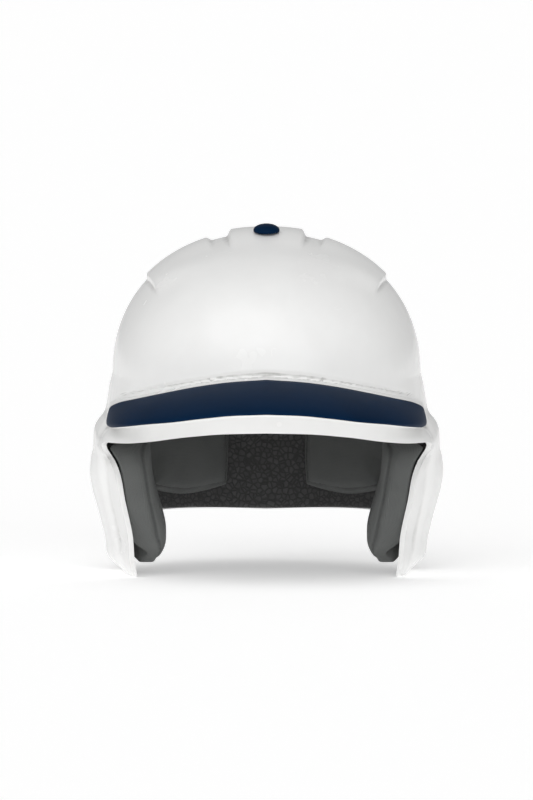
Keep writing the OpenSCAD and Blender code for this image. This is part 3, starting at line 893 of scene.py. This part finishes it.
def seam_line(piece):
    """The seam's points and directions outwards, in order round the pad."""
    found = []
    for point, spot in zip(piece.data.vertices, weave_of(piece)):
        if abs(spot.z - SEAM) < 0.02:
            found.append((spot, point.co.copy(), point.normal.copy()))
    middle = sum((spot for spot, _, _ in found), Vector()) / len(found)
    reach_x = max(abs(spot.x - middle.x) for spot, _, _ in found)
    reach_y = max(abs(spot.y - middle.y) for spot, _, _ in found)
    found.sort(key=lambda one: math.atan2((one[0].y - middle.y) / reach_y, (one[0].x - middle.x) / reach_x))
    return [(place, up) for _, place, up in found]


let_go()
bpy.ops.mesh.primitive_uv_sphere_add(segments=6, ring_count=5, radius=MM)
stitch = bpy.context.object
stitch.scale = (1.3, 0.33, 0.3)
settle(stitch)


def stitched(name, line):
    built = bmesh.new()
    left = 0.0
    count = 0
    for (a, up), (b, _) in zip(line, line[1:] + line[:1]):
        step = b - a
        if step.length < 1e-6:
            continue
        along = step.normalized()
        side = up.cross(along).normalized()
        turn = Matrix((along, side, along.cross(side))).transposed().to_4x4()
        while left < step.length:
            one = stitch.data.copy()
            one.transform(Matrix.Translation(a + along * left + up * 0.12 * MM) @ turn)
            built.from_mesh(one)
            bpy.data.meshes.remove(one)
            left += STITCH_STEP * MM
            count += 1
        left -= step.length
    thread = bpy.data.objects.new(name, bpy.data.meshes.new(name))
    bpy.context.collection.objects.link(thread)
    built.to_mesh(thread.data)
    built.free()
    outward(thread)
    smooth(thread, 80)
    print(f"{name}: {count} stitches")
    return thread


def sewn(piece):
    """Press the seam into a swollen pad, round it, and return the pad and its stitches."""
    for point, spot in zip(piece.data.vertices, weave_of(piece)):
        if spot.z >= 0:
            point.co -= point.normal * GROOVE * MM * math.exp(-(((spot.z - SEAM) / GROOVE_HALF) ** 2))
    piece.data.update()
    thread = stitched(piece.name + "_stitching", seam_line(piece))
    apply_modifier(piece, "SUBSURF", levels=1, render_levels=1)
    take(piece)
    bpy.ops.object.shade_smooth()
    report(piece)
    return piece, thread


# %% [markdown]
# The brow pad bends right across the forehead. Two temple pads, two big rear pads and three
# narrow pads over the crown complete the set. Only the left ones are made, and the right ones
# are their mirror images.

# %% Brow, temple, rear and crown pads
brow_pad = sewn(swollen(sewn_pad("pad_brow", on_wall(-52, 52, 102.5, 136, 0.22), 160, 33.5)))
temple_pad = sewn(swollen(sewn_pad("pad_left_temple", on_wall(62, 108, 103, 146, 0.22), 84, 43)))
rear_pad = sewn(swollen(sewn_pad("pad_left_rear", on_wall(117.5, 165, 45.5, 138, 0.22), 82, 92.5)))
crown_pad = sewn(swollen(sewn_pad("pad_crown", on_dome(0, 94, 9.4, 40, 0.24), 30, 140)))
side_pad = sewn(swollen(sewn_pad("pad_left_crown", on_dome(38, 92, 14, 38, 0.24), 45, 118)))

# %% [markdown]
# ## Ear pads
# An ear pad is a thick ring that fills the flap from the wall to the cheek. At the flap's
# front edge it reaches the shell, so the eye never sees the foam behind it. Its section goes
# round in five stretches: the back, the outer side, the cheek face, the inner side, and home.

# %% Ear pad
PAD_REACH, PAD_HOLE = (43, 38, 29, 57), (19, 24)
EAR_PAD_FROM = 16.35
cheek_x = smooth_curve((6, 67), (14, 65), (28, 64.7), (40, 67.3), (50.7, 70.5), (66, 73.8), (96, 76))
INNER_LINES, OUTER_LINES = [0, 1, 2.2, 4], [5, 3.6, 3.0, SEAM, 2.2, 1.6, 0.8, 0]
MID_SHARES = [0.2, 0.4, 0.6, 0.8]
FACE_WIDTH, LEAST_WIDTH, PAD_POWER = 9, 11, 3
STARTS_THIN, LEAST_THICK, EDGE_THIN = 0.03, 6, 0.45
line_kinds = (("in", INNER_LINES), ("mid", MID_SHARES), ("out", OUTER_LINES))
cross_lines = [(kind, value) for kind, values in line_kinds for value in values]


def across_ring(turn, line):
    """The share across the ring of a line, and its distance from the outer border."""
    kind, value = line
    inner = ring_spot(turn, 0, PAD_REACH, PAD_HOLE, PAD_POWER)
    outer = ring_spot(turn, 1, PAD_REACH, PAD_HOLE, PAD_POWER)
    width = math.dist(inner, outer)
    squeeze = min(1, width / LEAST_WIDTH)
    first, last = INNER_LINES[-1] * squeeze / width, 1 - OUTER_LINES[0] * squeeze / width
    if kind == "mid":
        return mix(first, last, value), mix(FACE_WIDTH, OUTER_LINES[0], value)
    share = value * squeeze / width
    return (share, FACE_WIDTH + value) if kind == "in" else (1 - share, value)


def ear_pad_point(turn, row):
    line, rise = row
    w, _ = across_ring(turn, line)
    y, z = ring_spot(turn, w, PAD_REACH, PAD_HOLE, PAD_POWER)
    back = side_point(y, z, mix(WALL + 1.2, EAR_PAD_FROM, ease(-34, -26, y)))
    full = max(back.x - cheek_x(z), LEAST_THICK) * (1 - EDGE_THIN * abs(2 * w - 1) ** 3)
    return back - Vector((full * rise * (1 - STARTS_THIN * rise), 0, 0))


def ear_weave(turn, row):
    line, rise = row
    w, edge = across_ring(turn, line)
    stray = (1 - rise) * 0.3 * (2 * w - 1)
    y, z = ring_spot(turn, w + stray, PAD_REACH, PAD_HOLE, PAD_POWER)
    return y, z, edge if rise == 1 else (-1 if rise == 0 else 0)


pad_turns = even(0, 360, 96) + [360]
side_rises = (0.25, 0.5, 0.75)
section = [(line, 0) for line in cross_lines] + [(("out", 0), rise) for rise in side_rises]
section += [(line, 1) for line in cross_lines[::-1]] + [(("in", 0), rise) for rise in side_rises[::-1]]
section += [(cross_lines[0], 0)]
ear_ring = laid_grid("pad_left_ear", pad_turns, section, ear_pad_point)
ear_pad = sewn(swollen(outward(merged(with_weave(ear_ring, pad_turns, section, ear_weave)))))

# %% Copy the pads to the right side
pads = {"brow_pad": brow_pad, "crown_pad": crown_pad}
for place, pair in (("temple", temple_pad), ("rear", rear_pad), ("crown", side_pad), ("ear", ear_pad)):
    pads[f"left_{place}_pad"] = pair
    twin = mirrored(pair[0], f"pad_right_{place}")
    pads[f"right_{place}_pad"] = (twin, mirrored(pair[1], f"pad_right_{place}_stitching"))
bpy.data.objects.remove(stitch)
print("sewn pads:", len(pads))

# %% [markdown]
# ## Building materials from nodes
# A material here is a small graph: places on the piece go in, and colour, roughness and height
# come out. Two helpers keep the graphs readable. shade adds a node to a graph, linking the
# inputs that are given as sockets and setting the others. An effect that several finishes
# share is a node group with named inputs and outputs, so that each finish gives its own values.

# %% Node helpers


def shade(tree, kind, inputs=None, **settings):
    added = tree.nodes.new("ShaderNode" + kind)
    for name, value in settings.items():
        setattr(added, name, value)
    for name, value in (inputs or {}).items():
        if isinstance(value, bpy.types.NodeSocket):
            tree.links.new(value, added.inputs[name])
        else:
            added.inputs[name].default_value = value
    return added


def math_node(tree, operation, *values):
    return shade(tree, "Math", dict(enumerate(values)), operation=operation).outputs[0]


def times(tree, a, b):
    return math_node(tree, "MULTIPLY", a, b)


def scaled_added(tree, a, factor, b):
    return math_node(tree, "MULTIPLY_ADD", a, factor, b)


def in_mm(tree, place):
    return shade(tree, "VectorMath", {0: place, "Scale": 1 / MM}, operation="SCALE").outputs[0]


def spread(tree, value, low, high, to_low=0.0, to_high=1.0):
    """Stretch the part of a value between low and high over another range, with soft ends."""
    inputs = {"Value": value, "From Min": low, "From Max": high, "To Min": to_low, "To Max": to_high}
    return shade(tree, "MapRange", inputs, interpolation_type="SMOOTHSTEP").outputs["Result"]


def noise(tree, place, scale, detail=3.0, roughness=0.5):
    inputs = {"Vector": place, "Scale": scale, "Detail": detail, "Roughness": roughness}
    return shade(tree, "TexNoise", inputs).outputs["Fac"]


def colour(text):
    """A colour from its six-figure code, as linear light."""
    parts = [int(text[i : i + 2], 16) / 255 for i in (0, 2, 4)]
    return (*[c / 12.92 if c <= 0.04045 else ((c + 0.055) / 1.055) ** 2.4 for c in parts], 1)


def blend_colour(tree, factor, a, b):
    """Blend from a to b, each a socket or a six-figure code."""
    ends = {at: colour(value) if isinstance(value, str) else value for at, value in ((6, a), (7, b))}
    return shade(tree, "Mix", {0: factor, **ends}, data_type="RGBA").outputs[2]


def new_group(name, inputs, outputs):
    tree = bpy.data.node_groups.new(name, "ShaderNodeTree")
    for label, default in inputs.items():
        kind = "NodeSocketVector" if default is None else "NodeSocketFloat"
        socket = tree.interface.new_socket(label, in_out="INPUT", socket_type=kind)
        if default is not None:
            socket.default_value = default
    for label in outputs:
        tree.interface.new_socket(label, in_out="OUTPUT", socket_type="NodeSocketFloat")
    return tree, tree.nodes.new("NodeGroupInput").outputs, tree.nodes.new("NodeGroupOutput").inputs


def wire(tree, results):
    for socket, value in results:
        tree.links.new(value, socket)
    return tree


# %% [markdown]
# ## Effects that finishes share
# Moulded plastic is never a mirror. Its skin has the faint ripple of the mould, a slow change
# in gloss where it cooled unevenly, and after a season in a kit bag, fine scuffs that catch
# the light. The first group gives all three from a place on the piece.

# %% Moulded skin
GRAIN_SCALE, MOTTLE_SCALE, PATCH_SCALE, SCRATCH_WIDTH = 2.6, 0.028, 0.045, 0.012
SCRATCHES = ((0.6, (0.02, 0.16, 0.07)), (-0.9, (0.15, 0.02, 0.08)), (2.1, (0.06, 0.11, 0.02)))
skin_inputs = {"Place": None, "Ripple Size": 4.0, "Scuffs": 0.5}
tree, given, out = new_group("moulded_skin", skin_inputs, ["Height", "Gloss Loss", "Mottle"])
per_mm = in_mm(tree, given["Place"])
ripple = noise(tree, per_mm, math_node(tree, "DIVIDE", 1.0, given["Ripple Size"]), 2.0)
grain = noise(tree, per_mm, GRAIN_SCALE, 2.0)
mottle = noise(tree, per_mm, MOTTLE_SCALE, 3.0, 0.6)
streaks = []
for tilt, scale in SCRATCHES:
    stretched = {"Vector": per_mm, "Rotation": (tilt, tilt / 2, tilt), "Scale": scale}
    lines = noise(tree, shade(tree, "Mapping", stretched).outputs[0], 1.0, 1.0)
    off_line = math_node(tree, "ABSOLUTE", math_node(tree, "SUBTRACT", lines, 0.5))
    streaks.append(spread(tree, off_line, 0.0, SCRATCH_WIDTH, 1.0, 0.0))
patches = spread(tree, noise(tree, per_mm, PATCH_SCALE, 3.0), 0.5, 0.7)
scratched = math_node(tree, "MAXIMUM", math_node(tree, "MAXIMUM", streaks[0], streaks[1]), streaks[2])
scuffed = times(tree, times(tree, scratched, patches), given["Scuffs"])
height = math_node(tree, "SUBTRACT", scaled_added(tree, grain, 0.12, ripple), times(tree, scuffed, 0.2))
moulded_skin = wire(tree, [(out["Height"], height), (out["Gloss Loss"], scuffed), (out["Mottle"], mottle)])

# %% [markdown]
# Corners that stand out get rubbed first. Pointiness tells how far a surface bulges, and some
# noise breaks the mask up, so the wear comes and goes along an edge as it does in use.

# %% Worn edges
tree, given, out = new_group("worn_edges", {"Place": None, "Start": 0.52, "End": 0.6}, ["Mask"])
bulge = shade(tree, "NewGeometry").outputs["Pointiness"]
broken = spread(tree, noise(tree, in_mm(tree, given["Place"]), 0.22, 4.0, 0.65), 0.38, 0.62, 0.25, 1.0)
rubbed = spread(tree, bulge, given["Start"], given["End"])
worn_edges = wire(tree, [(out["Mask"], times(tree, rubbed, broken))])

# %% [markdown]
# Hollows get a tint too. The same pointiness, read from its low side, marks the crease over
# the bill and the feet of the ridges. On the white this tint is a grey, painted shade in those
# hollows; on the navy it is paler, like settled dust.

# %% Painted shade and dust in hollows
# This mask marks hollows: painted shade in the white's hollows, a dust tint in the navy's.
tree, given, out = new_group("hollow_dust_and_shade", {"Place": None, "Start": 0.497, "End": 0.47}, ["Mask"])
hollow = shade(tree, "NewGeometry").outputs["Pointiness"]
uneven = spread(tree, noise(tree, in_mm(tree, given["Place"]), 0.12, 3.0, 0.6), 0.3, 0.7, 0.55, 1.0)
falling = {"Value": hollow, "From Min": given["End"], "From Max": given["Start"]}
falling |= {"To Min": 1.0, "To Max": 0.0}
sunk = shade(tree, "MapRange", falling).outputs["Result"]
hollow_dust_and_shade = wire(tree, [(out["Mask"], times(tree, sunk, uneven))])

# %% [markdown]
# A knitted cover shows columns of small Vs. Each V is two slanted loops, so the group folds
# the cloth's width into columns, slants the rows one way in each half of a column, and lets
# rounded ridges rise there. A slow noise makes some loops prouder than others.

# %% Knitted loops
knit_inputs = {"Cloth": None, "Column": 1.1, "Row": 0.9}
tree, given, out = new_group("knitted_loops", knit_inputs, ["Height", "Shade"])
parts = shade(tree, "SeparateXYZ", {0: given["Cloth"]}).outputs
drift = shade(tree, "TexNoise", {"Vector": given["Cloth"], "Scale": 0.25, "Detail": 1.0}).outputs["Fac"]
across = math_node(tree, "DIVIDE", scaled_added(tree, drift, 0.5, parts[0]), given["Column"])
along = math_node(tree, "DIVIDE", scaled_added(tree, drift, 0.5, parts[1]), given["Row"])
half = math_node(tree, "ABSOLUTE", math_node(tree, "SUBTRACT", math_node(tree, "FRACT", across), 0.5))
slanted = math_node(tree, "FRACT", scaled_added(tree, half, 1.5, along))
loop_ridge = math_node(tree, "SINE", times(tree, slanted, math.pi))
leg = math_node(tree, "SINE", times(tree, half, 2 * math.pi))
loops = times(tree, math_node(tree, "POWER", loop_ridge, 0.7), math_node(tree, "POWER", leg, 0.6))
fuzz = noise(tree, given["Cloth"], 3.1, 3.0, 0.7)
knit_shade = spread(tree, scaled_added(tree, fuzz, 0.4, loops), 0.1, 1.25)
knit_height = scaled_added(tree, fuzz, 0.35, loops)
knitted_loops = wire(tree, [(out["Height"], knit_height), (out["Shade"], knit_shade)])

# %% [markdown]
# Bead foam is made of little spheres steamed until they stick. Each bead keeps its rounded
# outline, a thin dark line lies between beads, and every bead has its own shade.

# %% Foam beads
tree, given, out = new_group("foam_beads", {"Place": None, "Bead": 3.4}, ["Height", "Shade"])
per_mm = in_mm(tree, given["Place"])
cells = {"Vector": per_mm, "Scale": math_node(tree, "DIVIDE", 1.0, given["Bead"])}
to_edge = shade(tree, "TexVoronoi", cells, feature="DISTANCE_TO_EDGE").outputs["Distance"]
own_shade = shade(tree, "SeparateXYZ", {0: shade(tree, "TexVoronoi", cells).outputs["Color"]}).outputs[0]
round_bead = spread(tree, to_edge, 0.0, 0.22)
pits = spread(tree, noise(tree, per_mm, 1.6, 3.0), 0.55, 0.75)
bead_height = math_node(tree, "SUBTRACT", round_bead, times(tree, pits, 0.3))
bead_shade = times(tree, round_bead, scaled_added(tree, own_shade, 0.5, 0.5))
foam_beads = wire(tree, [(out["Height"], bead_height), (out["Shade"], bead_shade)])

# %% [markdown]
# ## The finishes
# finish starts a material and sets what is the same all over straight on the shader. Each
# cell after it works out what changes from place to place, and surface wires that in, with a
# bump whose distance is the real depth of the relief in metres.

# %% Start a finish


def finish(name, **constants):
    made = bpy.data.materials.new(name)
    made.use_nodes = True
    shader = made.node_tree.nodes["Principled BSDF"]
    for label, value in constants.items():
        shader.inputs[label.replace("_", " ")].default_value = value
    return made, made.node_tree, shader


def on_piece(tree):
    return shade(tree, "TexCoord").outputs["Object"]


def surface(tree, shader, tint, rough, height, depth_mm):
    bump = shade(tree, "Bump", {"Height": height, "Distance": depth_mm * MM, "Strength": 1.0})
    for label, value in (("Base Color", tint), ("Roughness", rough), ("Normal", bump.outputs["Normal"])):
        tree.links.new(value, shader.inputs[label])


# %% [markdown]
# The shell and the navy trim are the same kind of plastic in two colours, so one function
# makes both. The navy is satin and shows its scuffs paler, and the white is glossier and
# hardly shows them. Wear takes some gloss off both. Hollows take a fourth colour: on the
# white a grey, painted shade, and on the navy a paler tint, like dust.

# %% Moulded plastic
# The second value weighs the hollows' tint: painted shade on the white, dust on the navy.
TINT_WEAR, TINT_DUST_AND_SHADE, DULLING, MOTTLED_GLOSS = 0.6, 0.8, 0.06, 0.05


def moulded_plastic(name, colours, gloss, ripple, depth, scuffs, worn, **constants):
    base, slow, rubbed, dust_and_shade_tint = colours
    made, tree, shader = finish(name, **constants)
    place = on_piece(tree)
    skin_inputs = {"Place": place, "Ripple Size": ripple, "Scuffs": scuffs}
    skin = shade(tree, "Group", skin_inputs, node_tree=moulded_skin).outputs
    limits = {"Place": place, "Start": worn[0], "End": worn[1]}
    wear = shade(tree, "Group", limits, node_tree=worn_edges).outputs["Mask"]
    dust_and_shade = shade(tree, "Group", {"Place": place}, node_tree=hollow_dust_and_shade).outputs["Mask"]
    marked = math_node(tree, "MAXIMUM", wear, skin["Gloss Loss"])
    tint = blend_colour(tree, spread(tree, skin["Mottle"], 0.3, 0.7), base, slow)
    tint = blend_colour(tree, times(tree, marked, TINT_WEAR), tint, rubbed)
    # Hollows blend to the fourth colour: painted shade on the white, a paler dust on the navy.
    tint = blend_colour(tree, times(tree, dust_and_shade, TINT_DUST_AND_SHADE), tint, dust_and_shade_tint)
    rough = scaled_added(tree, skin["Mottle"], MOTTLED_GLOSS, scaled_added(tree, marked, DULLING, gloss))
    surface(tree, shader, tint, rough, skin["Height"], depth)
    return made


# The fourth colour of each set is for hollows: grey painted shade on the white, pale dust on the navy.
WHITE, NAVY = ("f8f8f7", "f5f5f4", "ebeae8", "b4b3b1"), ("07203a", "092440", "1c3450", "14263a")
white_look = {"Specular_IOR_Level": 0.45, "Coat_Weight": 0.15, "Coat_Roughness": 0.12}
navy_look = {"IOR": 1.14, "Specular_IOR_Level": 0.2}
white_plastic = moulded_plastic("white_moulding", WHITE, 0.24, 5.0, 0.012, 0.05, (0.57, 0.68), **white_look)
navy_plastic = moulded_plastic("navy_moulding", NAVY, 0.42, 2.4, 0.03, 0.2, (0.54, 0.66), **navy_look)
print("plastics:", white_plastic.name, navy_plastic.name)

# %% [markdown]
# The foam is nearly black and quite dull. Its beads show as a slightly paler middle and a dark
# line round each, over relief of a fifth of a millimetre.

# %% Bead foam
bead_foam, tree, shader = finish("black_bead_foam", Specular_IOR_Level=0.35)
place = on_piece(tree)
beads = shade(tree, "Group", {"Place": place, "Bead": 3.4}, node_tree=foam_beads).outputs
limits = {"Place": place, "Start": 0.52, "End": 0.62}
wear = shade(tree, "Group", limits, node_tree=worn_edges).outputs["Mask"]
tint = blend_colour(tree, beads["Shade"], "3e3e3e", "505050")
tint = blend_colour(tree, times(tree, wear, 0.5), tint, "5a5a5a")
surface(tree, shader, tint, spread(tree, beads["Shade"], 0.0, 1.0, 0.75, 0.5), beads["Height"], 0.2)

# %% [markdown]
# The pads' cover reads the weave attribute for its knit, with a few slow paler patches. Along
# the seam the colour darkens towards a deeper grey: painted shade in the seam's groove.
# A sheen stands for the loose fibres that glow at the cover's edge.

# %% Knitted cover
fibre_glow = {"Sheen_Weight": 0.12, "Sheen_Roughness": 0.5}
knit_cover, tree, shader = finish("grey_knit", Roughness=0.85, Specular_IOR_Level=0.2, **fibre_glow)
cloth = shade(tree, "Attribute", attribute_name="weave").outputs["Vector"]
edge = shade(tree, "SeparateXYZ", {0: cloth}).outputs[2]
flat = shade(tree, "VectorMath", {0: cloth, 1: (1, 1, 0)}, operation="MULTIPLY").outputs[0]
knit = shade(tree, "Group", {"Cloth": flat, "Column": 1.1, "Row": 0.9}, node_tree=knitted_loops).outputs
tint = blend_colour(tree, knit["Shade"], "545655", "707271")
fading = spread(tree, noise(tree, on_piece(tree), 38.0, 3.0), 0.35, 0.7)
tint = blend_colour(tree, times(tree, fading, 0.35), tint, "747674")
off_seam = math_node(tree, "ABSOLUTE", math_node(tree, "SUBTRACT", edge, SEAM))
seam_groove_shade = math_node(tree, "SUBTRACT", 1.0, spread(tree, off_seam, 0.2, 1.1))
# Painted shade: the cover's colour darkens along the seam's groove.
tint = blend_colour(tree, times(tree, seam_groove_shade, 0.45), tint, "434544")
surface(tree, shader, tint, spread(tree, knit["Shade"], 0.0, 1.0, 0.95, 0.78), knit["Height"], 0.22)

# %% [markdown]
# Each stitch is twisted from plies, which show as slanted lines. The thread is a shade darker
# than the cover.

# %% Thread
thread_finish, tree, shader = finish("grey_thread", Specular_IOR_Level=0.3, Sheen_Weight=0.15)
twist = {"Vector": in_mm(tree, on_piece(tree)), "Scale": 1.1, "Distortion": 1.5, "Detail": 1.0}
plies = shade(tree, "TexWave", twist, bands_direction="DIAGONAL").outputs["Fac"]
tint = blend_colour(tree, plies, "3f4140", "5d5f5e")
surface(tree, shader, tint, spread(tree, plies, 0.0, 1.0, 0.8, 0.6), plies, 0.08)

# %% [markdown]
# The parts left from the frame need finishes too. The push nut under the button is spring
# steel with marks from the tool that turned it. The hook patches have stiff little hooks in
# rows, the loop patches a soft pile, and the tape under the panel is cloudy, with bubbles.

# %% Steel, hooks, loops and tape
spring_steel, tree, shader = finish("spring_steel", Metallic=1.0)
place = in_mm(tree, on_piece(tree))
marks = noise(tree, shade(tree, "Mapping", {"Vector": place, "Scale": (0.3, 6.0, 1.0)}).outputs[0], 1.0, 4.0)
spots = spread(tree, noise(tree, place, 0.9, 3.0), 0.58, 0.72)
tint = blend_colour(tree, times(tree, spots, 0.4), blend_colour(tree, marks, "8f9193", "c2c4c6"), "6d5a48")
surface(tree, shader, tint, spread(tree, marks, 0.2, 0.8, 0.25, 0.5), marks, 0.02)


def fastener(name, dark, pale, scale, depth, low, high):
    made, tree, shader = finish(name, Specular_IOR_Level=0.3)
    place = in_mm(tree, on_piece(tree))
    cells = {"Vector": place, "Scale": scale}
    tips = shade(tree, "TexVoronoi", cells, feature="SMOOTH_F1").outputs["Distance"]
    tufts = spread(tree, scaled_added(tree, noise(tree, place, scale * 2.2), 0.5, tips), 0.2, 1.0)
    rough = spread(tree, tufts, 0.0, 1.0, low, high)
    raised = math_node(tree, "SUBTRACT", 1.0, tufts)
    surface(tree, shader, blend_colour(tree, tufts, pale, dark), rough, raised, depth)
    return made


hook_tape = fastener("black_hooks", "121212", "3a3a3a", 1.3, 0.5, 0.35, 0.6)
loop_tape = fastener("black_loops", "191919", "404040", 0.9, 0.4, 0.85, 1.0)
white_tape, tree, shader = finish("white_tape", Specular_IOR_Level=0.3)
place = in_mm(tree, on_piece(tree))
fibres = noise(tree, place, 0.9, 5.0, 0.7)
bubbles = shade(tree, "TexVoronoi", {"Vector": place, "Scale": 0.12}).outputs["Distance"]
rough = spread(tree, spread(tree, bubbles, 0.1, 0.3), 0.0, 1.0, 0.35, 0.6)
surface(tree, shader, blend_colour(tree, fibres, "e2e0da", "f1f0ec"), rough, fibres, 0.03)
print("materials:", len(bpy.data.materials))

# %% [markdown]
# ## Putting the pieces on their bodies
# Each new piece takes its finish, rides on a body of the frame and stands for the CAD node it
# follows. The ear pads ride on their own bodies, because they pull off. The CAD nodes that
# stay only get a finish.

# %% Finishes and bodies


def fitted(piece, finish_of_piece, body, slot, *nodes):
    piece.data.materials.clear()
    piece.data.materials.append(finish_of_piece)
    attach(piece, body)
    if nodes:
        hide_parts(*nodes)


fitted(shell, white_plastic, "helmet", "shell", "outer_shell")
fitted(panel, navy_plastic, "helmet", "trim", "bill_panel")
fitted(button, navy_plastic, "helmet", "trim", "crown_button")
for node, block in foams.items():
    fitted(block, bead_foam, "helmet", "foam", node)
for node, (pad, thread) in pads.items():
    body = node if node in frame["bodies"] else "helmet"
    fitted(pad, knit_cover, body, "pad", node)
    fitted(thread, thread_finish, body, "pad")
kept = {"bill_panel_tape": white_tape, "button_push_nut": spring_steel}
for side in ("left", "right"):
    kept |= {f"{side}_hook_patches": hook_tape, f"{side}_loop_patches": loop_tape}
for node, finish_of_node in kept.items():
    for one in frame["nodes"][node].material_slots:
        one.link = "OBJECT"
        one.material = finish_of_node
print("new pieces:", 3 + len(foams) + 2 * len(pads), "kept nodes:", len(kept))

# %% [markdown]
# ## Floor, light and camera
# White on white is a matter of light. The floor is lit a little brighter than the shell, and
# the sky is dimmer to the left and right than overhead, so the shell's sides turn a soft grey
# and its outline reads. A soft sun from above the camera's left shoulder gives the crown its
# shape, and a level one fills the front. Everything is plain and even, as in a small studio.

# %% Floor
FLOOR_R, FLOOR_GLOW = 400, 0.36
let_go()
bpy.ops.mesh.primitive_circle_add(vertices=96, radius=FLOOR_R, fill_type="NGON", location=(0, 0, -0.0002))
floor = bpy.context.object
floor.name = "studio_floor"
settle(floor)
glow = {"Emission_Color": (1, 1, 1, 1), "Emission_Strength": FLOOR_GLOW}
paper, tree, shader = finish("pale_paper", Roughness=0.9, Specular_IOR_Level=0.1, **glow)
fibre = noise(tree, on_piece(tree), 900.0, 3.0)
tree.links.new(blend_colour(tree, fibre, "fafafa", "fdfdfd"), shader.inputs["Base Color"])
floor.data.materials.append(paper)
floor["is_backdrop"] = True

# %% Sky and sun
SKY_FRONT, SKY_SIDE, SKY_SEEN = 0.5, 0.2, 0.97
sky = bpy.data.worlds.new("studio")
scene.world = sky
sky.use_nodes = True
tree = sky.node_tree
direction = shade(tree, "SeparateXYZ", {0: shade(tree, "TexCoord").outputs["Generated"]}).outputs
sideways = math_node(tree, "ABSOLUTE", direction[0])
strength = spread(tree, sideways, 0.35, 0.95, SKY_FRONT, SKY_SIDE)
seen = shade(tree, "LightPath").outputs["Is Camera Ray"]
level = shade(tree, "Mix", {0: seen, 2: strength, 3: SKY_SEEN}).outputs[0]
tree.links.new(level, tree.nodes["Background"].inputs["Strength"])
tree.nodes["Background"].inputs["Color"].default_value = (1, 1, 1, 1)
for name, turn, power, width in (("soft_sun", (38, -22, 0), 0.7, 50), ("front_fill", (80, 0, 6), 1.0, 60)):
    bpy.ops.object.light_add(type="SUN", rotation=[math.radians(part) for part in turn])
    light = bpy.context.object
    light.name = name
    light.data.energy = power
    light.data.angle = math.radians(width)
scene.view_settings.view_transform = "Standard"

# %% [markdown]
# The camera stands well back with a long lens, four degrees above level, and looks at the
# middle of the helmet.

# %% Camera
ELEVATION, LENS, DISTANCE, FAR_CLIP = math.radians(4), 1000, 14.444, 1000
AIM = Vector((0, -0.0185, 0.116))
let_go()
bpy.ops.object.camera_add(
    location=AIM + DISTANCE * Vector((0, -math.cos(ELEVATION), math.sin(ELEVATION))),
    rotation=(math.pi / 2 - ELEVATION, 0, 0),
)
camera = bpy.context.object
camera.name = "camera"
camera.data.lens = LENS
camera.data.clip_end = FAR_CLIP
scene.camera = camera

# %% Compare sizes and finish
visual_box = [list(corner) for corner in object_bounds()]
for name, box in (("frame", cad_box), ("made", visual_box)):
    print(name, [round((high - low) / MM, 1) for low, high in zip(*box)], "mm")
